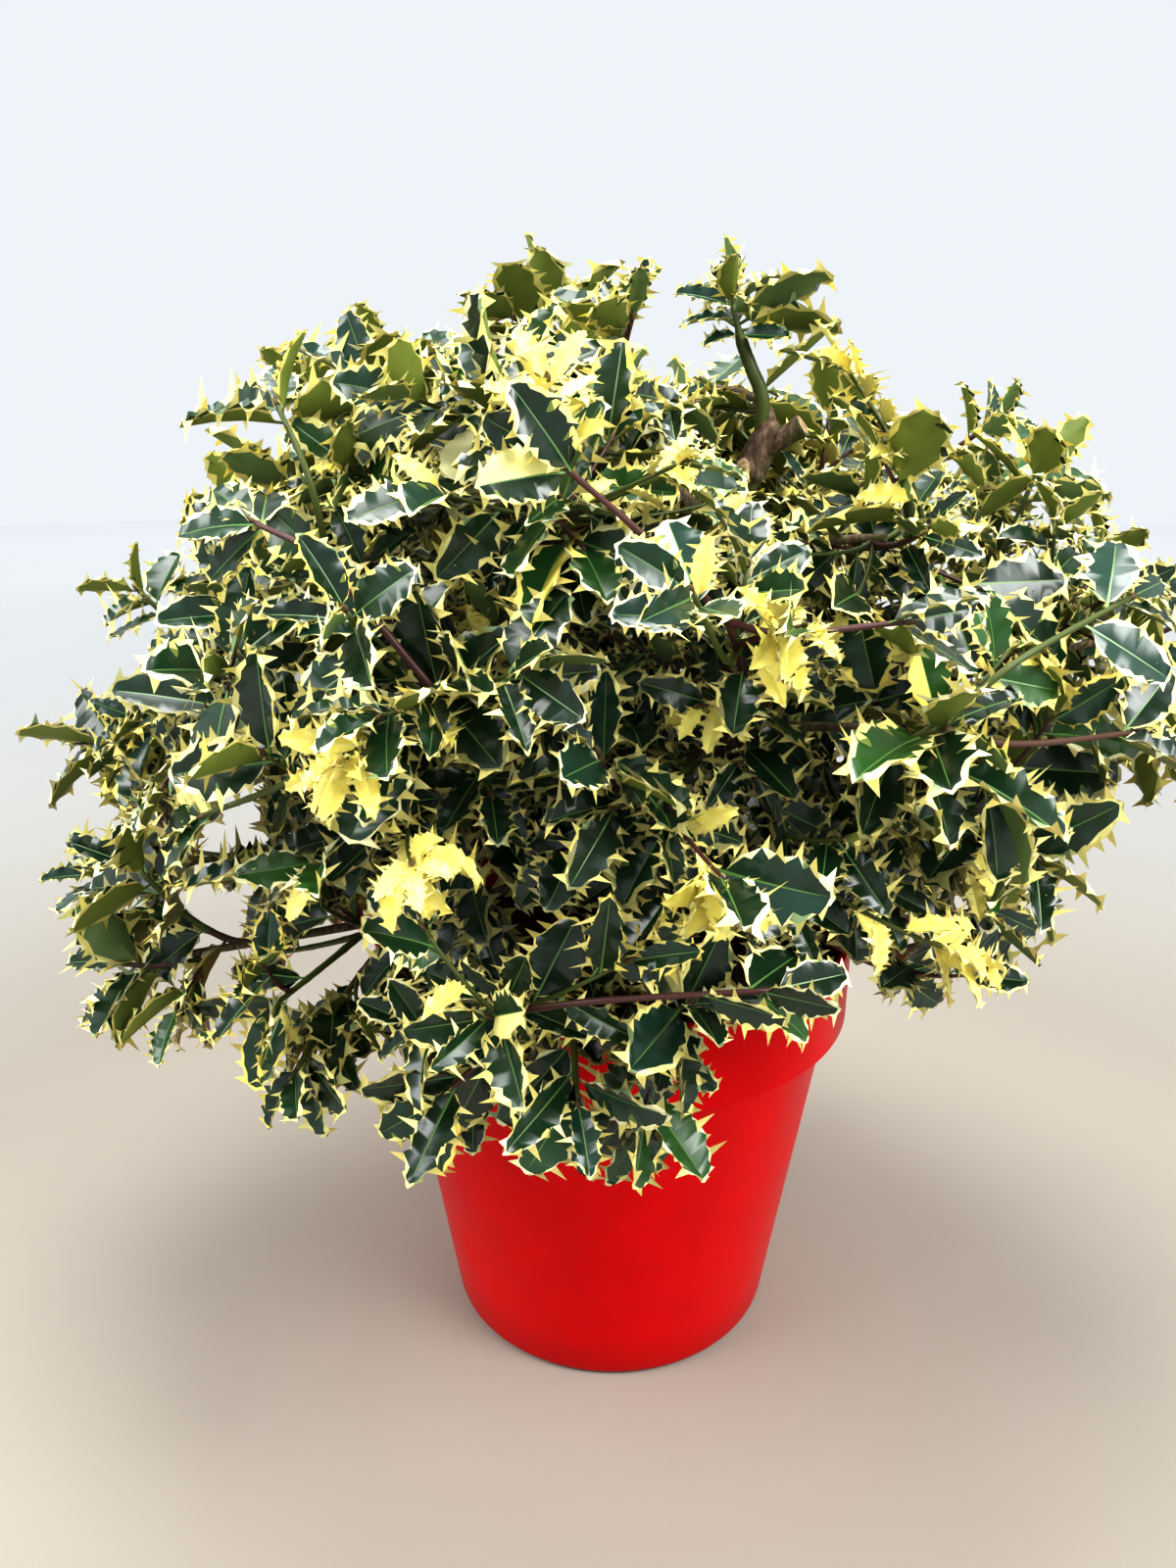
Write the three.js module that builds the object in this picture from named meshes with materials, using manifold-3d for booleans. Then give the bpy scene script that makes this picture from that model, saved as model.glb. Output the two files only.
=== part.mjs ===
// A variegated holly bush in a round red plastic pot.
// Millimetres, +Z up, +X to the right, +Y to the back. The origin is the middle of the pot's flat underside.
//
// The pot is filled with compost. A leaning trunk, pruned at its top, carries one tapering bough for each
// mass of foliage. A mass keeps to its own cell of the crown: one stem grows on from the bough's tip, twigs
// leave the stem for tips spread evenly over the crown's outline, and spiny leaves stand on every twig.

import * as THREE from "three";
import { mergeVertices } from "three/addons/utils/BufferGeometryUtils.js";
import Module from "manifold-3d";

const wasm = await Module();
wasm.setup();

// ---------------------------------------------------------------- driving dimensions

const SEED = 20;
const GOLDEN_ANGLE = Math.PI * (3 - Math.sqrt(5));
const CLEARANCE = 0.3; // between solids that meet

const POT = {
  height: 268,
  rimRadius: 150,
  bandHeight: 54, // the broad plain band under the rim
  bandFootRadius: 149,
  shoulderRadius: 138, // of the body, just under the band
  baseRadius: 105,
  baseRound: 7,
  rimRound: 2.2,
  wall: 3,
  floor: 4,
  sides: 40,
};

const SOIL = { top: 240, rise: 4, sides: 26, sideGap: 4 };

const TRUNK = {
  foot: [-4, 4],
  top: [86, 0, 562],
  bow: [-20, 26], // sideways swing of its middle
  bowSkew: 0.35, // how much more of the swing lies low down
  footRadius: 13,
  topRadius: 6.2,
  flare: 7, // the root flare's extra radius at the ground
  flareHeight: 13,
  knob: 2.4, // extra radius of the callus round the pruning cut
  knobAt: 0.95, // share of the trunk's length
  knobSpread: 0.045,
  rings: 11,
  sides: 9,
};

// The crown is an ellipsoid round this centre above, and squarer below, where it hangs over the pot's rim.
const CROWN = {
  centre: [0, 0, 400],
  halfWidth: 334,
  halfDepth: 276,
  rise: 252,
  drop: 200,
  squareness: 3.2, // the exponent of its lower half; 2 would be an ellipsoid
  lowest: -0.66, // sine of the elevation of its lowest leaves
  tips: 64,
  unevenness: 0.06,
};

// The rim shows here: no low leaves between these azimuths, in degrees.
const OPEN_FRONT = { from: 284, to: 326, below: 296 };

// Rings of masses: how many, the elevation of their middles from the crown's centre and the azimuth of the
// first, in degrees, and the height at which their boughs leave the trunk, staggered up and down.
const RINGS = [
  { name: "low", count: 7, elevation: -24, azimuth: 12, boughHeight: 296, stagger: 13 },
  { name: "middle", count: 7, elevation: 13, azimuth: 38, boughHeight: 356, stagger: 16 },
  { name: "upper", count: 5, elevation: 47, azimuth: 20, boughHeight: 430, stagger: 18 },
  { name: "crest", count: 1, elevation: 80, azimuth: 180, boughHeight: 500, stagger: 0 },
];
const MIDDLE_SHARE = 0.7; // a mass's middle lies this far out to the crown's outline

// The leading shoot stands alone on the pruned top of the trunk.
const LEADER = { name: "leader", middle: [78, 0, 580], edge: [56, 2, 664] };

// Long shoots that stand out of the crown: azimuth of the leaf at the tip, its distance from the axis and
// its height.
const LONG_SHOOTS = [
  [178, 46, 660],
  [182, 152, 640],
  [176, 204, 612],
  [186, 242, 548],
  [184, 312, 484],
  [181, 356, 376],
  [188, 348, 296],
  [206, 330, 262],
  [230, 276, 244],
  [250, 266, 250],
  [266, 258, 254],
  [4, 246, 592],
  [352, 262, 564],
  [2, 318, 508],
  [352, 358, 474],
  [354, 356, 388],
  [340, 306, 290],
];

const BOUGH = { radius: 5.6, tipRadius: 3.4, share: 0.6, lift: 14, rings: 4, sides: 6 };
const STEM = { radius: 3.2, tipRadius: 2, rings: 3, sides: 4, share: 0.82, straight: 30 };
const TWIG = { radius: 2.1, tipRadius: 1.5, rings: 2, sides: 3, sag: 10, straight: 0.3, room: 2.5 };

const LEAF = {
  length: 78,
  vary: 0.16, // lengths differ by this share either way
  halfWidth: 0.28, // as shares of the length, from here on
  thickness: 0.02,
  fold: 0.07, // how far the midrib lies below the edges
  wave: 0.06, // how far the spines bend up and down
  reach: 0.8, // how far a twig's last leaf stands out beyond it
  sunk: 0.1, // mm of its foot beyond the twig's heart
  perTwig: 5,
  firstAt: 0.3, // share of the twig's length
  spread: 1.15, // radians between a leaf and its twig
  endSpread: 0.25, // the same for the last leaf
  roll: 0.7, // radians either way about its own length
  light: 0.9, // how much leaves turn to the sky rather than out of the crown
  tries: 12, // turns round the twig before a place is left bare
  shrink: 0.03, // how much smaller each next try is
  room: 2, // mm kept from trunk and boughs
};

// ---------------------------------------------------------------- small helpers

const V = (x, y, z) => new THREE.Vector3(x, y, z);
const mix = (a, b, t) => a + (b - a) * t;
const radians = THREE.MathUtils.degToRad;
const onward = (from, direction, distance) => from.clone().addScaledVector(direction, distance);
const toward = (from, to) => to.clone().sub(from).normalize();
const halfway = (a, b) => a.clone().lerp(b, 0.5);
const steps = (from, to, count) => Array.from({ length: count + 1 }, (_, i) => mix(from, to, i / count));

// A repeatable stream of numbers from 0 to 1, so that every build grows the same plant.
function stream(seed) {
  let state = (seed * 7919 + 17) >>> 0;
  return () => {
    state = (Math.imul(state, 1664525) + 1013904223) >>> 0;
    return state / 4294967296;
  };
}

// A unit vector square to the given one, turned about it by an angle.
function sideways(direction, angle) {
  const reference = Math.abs(direction.z) > 0.9 ? V(1, 0, 0) : V(0, 0, 1);
  const side = V(0, 0, 0).crossVectors(direction, reference).normalize();
  return side.applyAxisAngle(direction, angle);
}

// A smooth bend from start to end, pulled towards the control point.
function bend(start, control, end) {
  return (t) => start.clone().lerp(control, t).lerp(control.clone().lerp(end, t), t);
}

const sampled = (curve, count) => steps(0, 1, count).map(curve);

function distanceToPath(point, path) {
  let least = Infinity;
  const nearest = V(0, 0, 0);
  for (let i = 1; i < path.length; i++) {
    new THREE.Line3(path[i - 1], path[i]).closestPointToPoint(point, true, nearest);
    least = Math.min(least, nearest.distanceTo(point));
  }
  return least;
}

// ---------------------------------------------------------------- solids

function solid(positions, triangles) {
  const mesh = new wasm.Mesh({
    numProp: 3,
    vertProperties: new Float32Array(positions),
    triVerts: new Uint32Array(triangles),
  });
  return new wasm.Manifold(mesh);
}

// A body turned about the Z axis: the profile's points are radius and height.
function turned(profile, sides) {
  const points = profile.map(([radius, height]) => new THREE.Vector2(radius, height));
  const geometry = new THREE.LatheGeometry(points, sides).rotateX(Math.PI / 2);
  geometry.deleteAttribute("normal");
  geometry.deleteAttribute("uv");
  const merged = mergeVertices(geometry, 1e-3);
  return solid(merged.attributes.position.array, merged.index.array);
}

function geometryOf(manifold) {
  const mesh = manifold.getMesh();
  const geometry = new THREE.BufferGeometry();
  geometry.setAttribute("position", new THREE.BufferAttribute(mesh.vertProperties, 3));
  geometry.setIndex(new THREE.BufferAttribute(mesh.triVerts, 1));
  const faceted = geometry.toNonIndexed();
  faceted.computeVertexNormals();
  return faceted;
}

// A closed limb along a path, with a radius for each point and flat ends. Its foot is square to the given
// direction, or else to the path.
function limb(path, radii, sides, footDirection) {
  const positions = [];
  const triangles = [];
  let side = null;
  path.forEach((point, i) => {
    const before = path[Math.max(0, i - 1)];
    const after = path[Math.min(path.length - 1, i + 1)];
    const along = i === 0 && footDirection ? footDirection : toward(before, after);
    side = side ? side.addScaledVector(along, -side.dot(along)).normalize() : sideways(along, 0);
    const up = V(0, 0, 0).crossVectors(along, side);
    for (let k = 0; k < sides; k++) {
      const angle = (k / sides) * 2 * Math.PI;
      const rim = onward(point, side, radii[i] * Math.cos(angle));
      rim.addScaledVector(up, radii[i] * Math.sin(angle));
      positions.push(rim.x, rim.y, rim.z);
    }
  });
  const ring = (i, k) => i * sides + (k % sides);
  for (let i = 0; i + 1 < path.length; i++)
    for (let k = 0; k < sides; k++) {
      triangles.push(ring(i, k), ring(i, k + 1), ring(i + 1, k + 1));
      triangles.push(ring(i, k), ring(i + 1, k + 1), ring(i + 1, k));
    }
  const last = path.length - 1;
  for (let k = 1; k + 1 < sides; k++) {
    triangles.push(ring(0, 0), ring(0, k + 1), ring(0, k));
    triangles.push(ring(last, 0), ring(last, k), ring(last, k + 1));
  }
  return solid(positions, triangles);
}

// ---------------------------------------------------------------- one spiny leaf

// Its outline has two spines and the bay between them on each side. The midrib lies lower than the edges,
// and the spines wave up and down.
function leafOutline(leaf) {
  const w = LEAF.halfWidth;
  const wave = LEAF.wave * leaf.wave;
  return [
    [0.33, w, wave],
    [0.48, w * 0.7, 0],
    [0.68, w * 0.86, -wave],
    [1, 0, -LEAF.wave / 2],
    [0.64, -w * 0.86, wave],
    [0.45, -w * 0.7, 0],
    [0.3, -w, -wave],
  ].map((share) => leafPoint(leaf, ...share));
}

// The point of a leaf at shares of its length along it, across it and above it.
function leafPoint({ foot, along, across, normal, length }, x, y, z) {
  const point = onward(foot, along, x * length);
  return point.addScaledVector(across, y * length).addScaledVector(normal, z * length);
}

// Two fans of faces round one outline, above and below, with an upright edge at the foot.
function leafSolid(leaf) {
  const half = LEAF.thickness / 2;
  const root = -LEAF.sunk / leaf.length;
  const corners = [
    leafPoint(leaf, 0.46, 0, half - LEAF.fold),
    leafPoint(leaf, 0.46, 0, -half - LEAF.fold),
    leafPoint(leaf, root, 0, half),
    leafPoint(leaf, root, 0, -half),
    ...leafOutline(leaf),
  ];
  const [above, below, rootAbove, rootBelow, first] = [0, 1, 2, 3, 4];
  const last = corners.length - 1;
  const triangles = [above, rootAbove, last, above, first, rootAbove];
  triangles.push(below, last, rootBelow, below, rootBelow, first);
  triangles.push(rootAbove, first, rootBelow, rootAbove, rootBelow, last);
  for (let i = first; i < last; i++) triangles.push(above, i + 1, i, below, i, i + 1);
  return solid(corners.flatMap((p) => [p.x, p.y, p.z]), triangles);
}

// ---------------------------------------------------------------- pot and compost

const bandFoot = POT.height - POT.bandHeight;
const bodyRadius = (z) => mix(POT.baseRadius, POT.shoulderRadius, z / bandFoot);

// Points of a rounded corner of a profile, for angles in degrees.
function rounded(radius, height, round, from, to, count) {
  return steps(from, to, count).map((angle) => [
    radius + round * Math.cos(radians(angle)),
    height + round * Math.sin(radians(angle)),
  ]);
}

function potSolid() {
  const { baseRound, rimRound, wall } = POT;
  return turned([
    [0, 0],
    ...rounded(POT.baseRadius - baseRound, baseRound, baseRound, -90, 0, 3),
    [POT.shoulderRadius, bandFoot],
    ...rounded(POT.bandFootRadius - rimRound, bandFoot + rimRound, rimRound, -60, 0, 1),
    ...rounded(POT.rimRadius - rimRound, POT.height - rimRound, rimRound, 0, 90, 2),
    [POT.rimRadius - wall - 1, POT.height],
    [POT.bandFootRadius - wall, bandFoot + wall + 2],
    [POT.shoulderRadius - wall, bandFoot - 1],
    [bodyRadius(POT.floor) - wall, POT.floor],
    [0, POT.floor],
  ], POT.sides);
}

// The compost fills the pot, clear of its walls, and rises a little towards the trunk.
function soilSolid() {
  const bottom = POT.floor + CLEARANCE;
  const edge = SOIL.top - SOIL.rise;
  return turned([
    [0, bottom],
    [bodyRadius(bottom) - SOIL.sideGap, bottom],
    [POT.shoulderRadius - SOIL.sideGap, bandFoot - 1],
    [POT.bandFootRadius - SOIL.sideGap - 1, bandFoot + SOIL.sideGap + 3],
    [POT.bandFootRadius - SOIL.sideGap - 1, edge],
    [POT.rimRadius * 0.55, SOIL.top - 1],
    [TRUNK.footRadius * 2.4, SOIL.top],
    [0, SOIL.top],
  ], SOIL.sides);
}

// ---------------------------------------------------------------- trunk and boughs

const trunkFoot = V(...TRUNK.foot, SOIL.top + CLEARANCE);
const trunkTop = V(...TRUNK.top);

function trunkPoint(t) {
  const swing = Math.sin(Math.PI * t) * (1 - TRUNK.bowSkew * t);
  const point = trunkFoot.clone().lerp(trunkTop, t);
  return point.add(V(TRUNK.bow[0] * swing, TRUNK.bow[1] * swing, 0));
}

function trunkRadius(t) {
  const above = (trunkTop.z - trunkFoot.z) * t;
  const flare = TRUNK.flare * Math.exp(-above / TRUNK.flareHeight);
  const knob = TRUNK.knob * Math.exp(-(((t - TRUNK.knobAt) / TRUNK.knobSpread) ** 2));
  return mix(TRUNK.footRadius, TRUNK.topRadius, t) + flare + knob;
}

// Rings lie closer together near the ground, where the root flare is.
const trunkShares = steps(0, 1, TRUNK.rings).map((t) => t ** 1.25);
const trunkPath = trunkShares.map(trunkPoint);

// The trunk stands on a flat cut at the compost.
function trunkSolid(extra) {
  return limb(trunkPath, trunkShares.map((t) => trunkRadius(t) + extra), TRUNK.sides, V(0, 0, 1));
}

const crownCentre = V(...CROWN.centre);

function crownReach(direction) {
  const level = Math.hypot(direction.x / CROWN.halfWidth, direction.y / CROWN.halfDepth);
  if (direction.z > 0) return 1 / Math.hypot(level, direction.z / CROWN.rise);
  const power = CROWN.squareness;
  return 1 / (level ** power + (-direction.z / CROWN.drop) ** power) ** (1 / power);
}

function heading(azimuth, sine) {
  const level = Math.sqrt(1 - sine * sine);
  return V(level * Math.cos(azimuth), level * Math.sin(azimuth), sine);
}

// A bough arches from the trunk's heart most of the way to its mass's middle.
function boughPath(middle, height) {
  const start = trunkPoint((height - trunkFoot.z) / (trunkTop.z - trunkFoot.z));
  const end = start.clone().lerp(middle, BOUGH.share);
  return sampled(bend(start, halfway(start, end).add(V(0, 0, BOUGH.lift)), end), BOUGH.rings);
}

// Each mass: its middle, the limb that carries it, and the tips that its twigs will grow to.
function plannedMasses() {
  const masses = [];
  for (const ring of RINGS)
    for (let i = 0; i < ring.count; i++) {
      const azimuth = radians(ring.azimuth + (360 / ring.count) * i);
      const direction = heading(azimuth, Math.sin(radians(ring.elevation)));
      const middle = onward(crownCentre, direction, crownReach(direction) * MIDDLE_SHARE);
      const path = boughPath(middle, ring.boughHeight + (i % 2 ? ring.stagger : -ring.stagger));
      masses.push({ name: ring.count > 1 ? `${ring.name}_${i + 1}` : ring.name, middle, path, tips: [] });
    }
  masses.push({ name: LEADER.name, middle: V(...LEADER.middle), path: trunkPath, tips: [] });
  return masses;
}

const masses = plannedMasses();
const boughed = masses.filter((mass) => mass.path !== trunkPath);

// ---------------------------------------------------------------- the growth rule

function inOpenFront(point) {
  const azimuth = (THREE.MathUtils.radToDeg(Math.atan2(point.y, point.x)) + 360) % 360;
  return azimuth > OPEN_FRONT.from && azimuth < OPEN_FRONT.to && point.z < OPEN_FRONT.below;
}

// Places spread evenly over the crown's outline by the golden angle, and the long shoots' ends.
function outlinePlaces() {
  const next = stream(SEED);
  const places = [V(...LEADER.edge)];
  for (let k = 0; k < CROWN.tips; k++) {
    const direction = heading(k * GOLDEN_ANGLE, mix(1, CROWN.lowest, (k + 0.5) / CROWN.tips));
    const reach = crownReach(direction) * (1 + CROWN.unevenness * (2 * next() - 1));
    places.push(onward(crownCentre, direction, reach));
  }
  for (const [azimuth, out, height] of LONG_SHOOTS)
    places.push(heading(radians(azimuth), 0).multiplyScalar(out).setZ(height));
  return places.filter((place) => !inOpenFront(place));
}

// A twig ends a leaf short of the outline, and belongs to the mass whose middle is nearest.
function shareTips() {
  for (const place of outlinePlaces()) {
    const tip = onward(place, toward(place, crownCentre), LEAF.length * LEAF.reach);
    const nearer = (a, b) => (b.middle.distanceTo(tip) < a.middle.distanceTo(tip) ? b : a);
    masses.reduce(nearer).tips.push(tip);
  }
}

// A mass's stem grows on from the limb that carries it, past the mass's middle, towards its farthest tip.
const endDirection = (path) => toward(path.at(-2), path.at(-1));

function stemOf(mass) {
  const direction = endDirection(mass.path);
  const start = onward(mass.path.at(-1), direction, CLEARANCE);
  const farther = (a, b) => (b.distanceTo(start) > a.distanceTo(start) ? b : a);
  const end = start.clone().lerp(mass.tips.reduce(farther), STEM.share);
  return bend(start, halfway(halfway(start, mass.middle), onward(start, direction, STEM.straight)), end);
}

// A twig leaves the stem where the tip lies at half a right angle to it, sags a little and rises to its tip.
function twigOf(stem, tip) {
  const slant = (t) => {
    const along = toward(stem(t), stem(t + 0.02));
    const ahead = tip.clone().sub(stem(t)).dot(along);
    const aside = Math.sqrt(Math.max(0, stem(t).distanceToSquared(tip) - ahead * ahead));
    return Math.abs(ahead - aside);
  };
  const foot = steps(0.06, 0.94, 44).reduce((a, b) => (slant(b) < slant(a) ? b : a));
  const start = stem(foot);
  const straight = onward(start, toward(start, stem(foot + 0.02)), start.distanceTo(tip) * TWIG.straight);
  return bend(start, halfway(straight, halfway(start, tip)).add(V(0, 0, -TWIG.sag)), tip);
}

// One try at the i-th leaf of a twig. Leaves stand round it by the golden angle, upper side to the light,
// and the last one points on from its tip.
function leafOf(twig, i, attempt, next) {
  const t = mix(LEAF.firstAt, 1, i / (LEAF.perTwig - 1));
  const foot = twig(t);
  const ahead = toward(twig(Math.max(0, t - 0.05)), twig(Math.min(1, t + 0.05)));
  const turn = i * GOLDEN_ANGLE + 2 * Math.PI * next();
  const spread = i === LEAF.perTwig - 1 ? LEAF.endSpread : LEAF.spread;
  const along = ahead.clone().multiplyScalar(Math.cos(spread));
  along.addScaledVector(sideways(ahead, turn), Math.sin(spread)).normalize();
  const light = toward(crownCentre, foot).add(V(0, 0, LEAF.light));
  const normal = light.addScaledVector(along, -light.dot(along)).normalize();
  normal.applyAxisAngle(along, LEAF.roll * (2 * next() - 1));
  const across = V(0, 0, 0).crossVectors(normal, along);
  const length = LEAF.length * (1 + LEAF.vary * (2 * next() - 1)) * (1 - LEAF.shrink * attempt);
  return { foot, along, across, normal, length, wave: next() < 0.5 ? 1 : -1 };
}

// ---------------------------------------------------------------- what a mass keeps clear of

// A mass's cell holds the points that are nearer to its middle than to any other.
function inCell(point, mass) {
  return masses.every((other) => {
    const apart = other.middle.distanceTo(mass.middle);
    const lead = point.distanceToSquared(other.middle) - point.distanceToSquared(mass.middle);
    return other === mass || lead > 4 * apart * CLEARANCE;
  });
}

function clearOfPot(point) {
  return point.z > POT.height + CLEARANCE || Math.hypot(point.x, point.y) > POT.rimRadius + LEAF.room;
}

function clearOfLimbs(point, room) {
  if (distanceToPath(point, trunkPath) < TRUNK.footRadius + room) return false;
  return boughed.every((mass) => distanceToPath(point, mass.path) > BOUGH.radius + room);
}

function leafFits(leaf, mass) {
  const outline = leafOutline(leaf);
  const middle = leafPoint(leaf, 0.46, 0, -LEAF.fold);
  const probes = outline.flatMap((point, i) => {
    return [point, halfway(point, outline.at(i - 1)), halfway(point, middle)];
  });
  return [middle, ...probes].every(
    (point) => inCell(point, mass) && clearOfPot(point) && clearOfLimbs(point, LEAF.room),
  );
}

function twigFits(path, mass) {
  return path.every((point) => inCell(point, mass) && clearOfPot(point)) &&
    path.slice(1).every((point) => clearOfLimbs(point, TWIG.room));
}

function touching(a, b) {
  const [one, two] = [a.boundingBox(), b.boundingBox()];
  const apart = [0, 1, 2].some((i) => one.min[i] > two.max[i] || two.min[i] > one.max[i]);
  return !apart && !a.intersect(b).isEmpty();
}

// ---------------------------------------------------------------- fusing a mass

function tapered(path, { radius, tipRadius, rings, sides }, footDirection) {
  return limb(path, steps(radius, tipRadius, rings), sides, footDirection);
}

// Stem, twigs and leaves in one closed body. A leaf is left out where every try of it would cross another
// leaf or twig.
function massSolid(mass, index) {
  const next = stream(SEED + 100 + index);
  const stem = stemOf(mass);
  const twigs = mass.tips.map((tip) => twigOf(stem, tip))
    .filter((twig) => twigFits(sampled(twig, TWIG.rings), mass));
  const wood = twigs.map((twig) => tapered(sampled(twig, TWIG.rings), TWIG));
  wood.push(tapered(sampled(stem, STEM.rings), STEM, endDirection(mass.path)));
  const leaves = [];
  twigs.forEach((twig, own) => {
    const others = wood.filter((_, k) => k !== own);
    for (let i = LEAF.perTwig - 1; i >= 0; i--)
      for (let attempt = 0; attempt < LEAF.tries; attempt++) {
        const leaf = leafOf(twig, i, attempt, next);
        if (!leafFits(leaf, mass)) continue;
        const made = leafSolid(leaf);
        if ([...others, ...leaves].some((other) => touching(made, other))) continue;
        leaves.push(made);
        break;
      }
  });
  const bodies = wasm.Manifold.union([...wood, ...leaves]).decompose();
  return bodies.reduce((a, b) => (b.volume() > a.volume() ? b : a));
}

// ---------------------------------------------------------------- the plant

const finishes = {
  pot: new THREE.MeshStandardMaterial({ color: 0xd40a12, roughness: 0.35, metalness: 0 }),
  soil: new THREE.MeshStandardMaterial({ color: 0x2a1c14, roughness: 0.95, metalness: 0 }),
  bark: new THREE.MeshStandardMaterial({ color: 0x6a5546, roughness: 0.85, metalness: 0 }),
  foliage: new THREE.MeshStandardMaterial({ color: 0x2c5a3a, roughness: 0.4, metalness: 0 }),
};

const plant = new THREE.Group();

function addNode(name, manifold, finish) {
  const mesh = new THREE.Mesh(geometryOf(manifold), finish);
  mesh.name = name;
  plant.add(mesh);
}

addNode("pot", potSolid(), finishes.pot);
addNode("soil", soilSolid(), finishes.soil);
addNode("trunk", trunkSolid(0), finishes.bark);

const trunkSpace = trunkSolid(CLEARANCE);
for (const mass of boughed)
  addNode(`bough_${mass.name}`, tapered(mass.path, BOUGH).subtract(trunkSpace), finishes.bark);

shareTips();
masses.forEach((mass, index) => addNode(`foliage_${mass.name}`, massSolid(mass, index), finishes.foliage));

export default plant;
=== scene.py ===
# %% [markdown]
# # A variegated holly bush in a red pot
# The frame gives the pot, the compost, a leaning trunk, twenty boughs and a mass of foliage on each.
# This lesson dresses them: a moulded pot, crumbly compost, rough bark, and some three thousand spiny
# leaves that grow on twigs by one rule. Everything is in metres, with +Z up and the back at +Y.

# %% The tools and the frame
import math
from itertools import product

import bmesh
import bpy
import numpy as np
from mathutils import Euler, Matrix, Vector, noise


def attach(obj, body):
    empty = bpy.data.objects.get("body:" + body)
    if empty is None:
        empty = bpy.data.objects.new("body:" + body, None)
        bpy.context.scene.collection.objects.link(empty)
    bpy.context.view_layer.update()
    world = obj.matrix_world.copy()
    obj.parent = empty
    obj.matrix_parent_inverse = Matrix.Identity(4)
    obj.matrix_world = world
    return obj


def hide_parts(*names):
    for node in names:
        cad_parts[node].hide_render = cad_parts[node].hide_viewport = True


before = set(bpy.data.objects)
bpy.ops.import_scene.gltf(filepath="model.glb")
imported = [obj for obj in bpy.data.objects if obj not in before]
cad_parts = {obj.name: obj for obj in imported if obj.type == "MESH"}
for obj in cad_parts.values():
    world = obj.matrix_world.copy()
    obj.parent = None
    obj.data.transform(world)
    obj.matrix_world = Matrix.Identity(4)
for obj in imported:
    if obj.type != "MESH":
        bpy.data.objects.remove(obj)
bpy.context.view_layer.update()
MM = 0.001

# %% [markdown]
# ## Colours and nodes
# Designers name a colour by its sRGB hex value, but a shader works with linear light, so one function
# turns the first into the second. Another adds a node, sets its options, sockets and colour stops by name
# and links its inputs, which keeps every material below short enough to read as a recipe.

# %% Colours and nodes
def linear(hex_colour):
    """An sRGB hex colour as the linear values of a colour socket."""
    channels = [int(hex_colour[i:i + 2], 16) / 255 for i in (1, 3, 5)]
    light = [c / 12.92 if c <= 0.04045 else ((c + 0.055) / 1.055) ** 2.4 for c in channels]
    return light + [1.0]


def socket(sockets, name):
    """The socket with this identifier or name."""
    for one in sockets:
        if name == one.identifier:
            return one
    return sockets[name]


def set_stops(ramp, stops):
    """Gives a colour ramp its stops, each a place and a hex colour."""
    while len(ramp.elements) < len(stops):
        ramp.elements.new(0.5)
    for element, (place, hex_colour) in zip(ramp.elements, stops):
        element.position = place
        element.color = linear(hex_colour)


def add_node(material, kind, settings=None, links=None):
    """Adds a node. Settings are its options and sockets, links its inputs and what feeds them."""
    node = material.node_tree.nodes.new(kind)
    for name, value in (settings or {}).items():
        if name == "stops":
            set_stops(node.color_ramp, value)
        elif hasattr(node, name):
            setattr(node, name, value)
        else:
            socket(node.inputs, name).default_value = value
    for name, (source, output) in (links or {}).items():
        material.node_tree.links.new(socket(source.outputs, output), socket(node.inputs, name))
    return node


def new_material(name):
    """An empty node material, ready for its recipe."""
    material = bpy.data.materials.new(name)
    material.use_nodes = True
    material.node_tree.nodes.clear()
    return material


def surface(material, settings, links=None):
    """Ends a recipe: a Principled surface and the material's output."""
    shader = add_node(material, "ShaderNodeBsdfPrincipled", settings, links)
    add_node(material, "ShaderNodeOutputMaterial", links={"Surface": (shader, "BSDF")})
    return material


# %% [markdown]
# ## Pieces
# A finished piece keeps its place in its mesh, so its object stays at the origin. Every piece of this
# plant rides on the one body, "root". Faces are shaded smooth, except across edges sharper than the
# given angle.

# %% Pieces
def put_in_scene(name, data):
    """An object in the scene with this mesh, lamp or camera."""
    thing = bpy.data.objects.new(name, data)
    bpy.context.scene.collection.objects.link(thing)
    return thing


def add_piece(name, mesh, materials, nodes=(), sharp=None):
    """Shows a mesh as a piece of the plant that stands for some nodes of the frame."""
    piece = put_in_scene(name, mesh)
    for material in materials:
        mesh.materials.append(material)
    mesh.shade_smooth()
    if sharp is not None:
        mesh.set_sharp_from_angle(angle=math.radians(sharp))
    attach(piece, "root")
    if nodes:
        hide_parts(*nodes)
    triangles = sum(len(face.vertices) - 2 for face in mesh.polygons)
    print(f"{name}: {len(mesh.polygons)} faces, {triangles} triangles")
    return piece


def mesh_of(bm, name):
    """Turns a finished bmesh into a mesh with its faces outward."""
    bmesh.ops.recalc_face_normals(bm, faces=bm.faces)
    mesh = bpy.data.meshes.new(name)
    bm.to_mesh(mesh)
    bm.free()
    return mesh


# %% [markdown]
# ## Camera
# The viewer stands close and looks down at the plant, so the crown looms over a pot that narrows away.
# A short lens at 0.69 m gives that strong perspective. The picture stands upright, so the sensor's 36 mm
# lies along its height.

# %% Camera
CAMERA_PLACE = (0, -0.687, 0.575)
CAMERA_DOWN = 17.9  # degrees below level
CAMERA_TURN = 1.3  # degrees to the left
LENS = 27
SENSOR = 36

camera = put_in_scene("camera", bpy.data.cameras.new("camera"))
camera.data.lens = LENS
camera.data.sensor_width = SENSOR
camera.location = CAMERA_PLACE
camera.rotation_euler = (math.radians(90 - CAMERA_DOWN), 0, math.radians(CAMERA_TURN))
bpy.context.scene.camera = camera
print("camera at", CAMERA_PLACE, "looking down", CAMERA_DOWN, "degrees")

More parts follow.
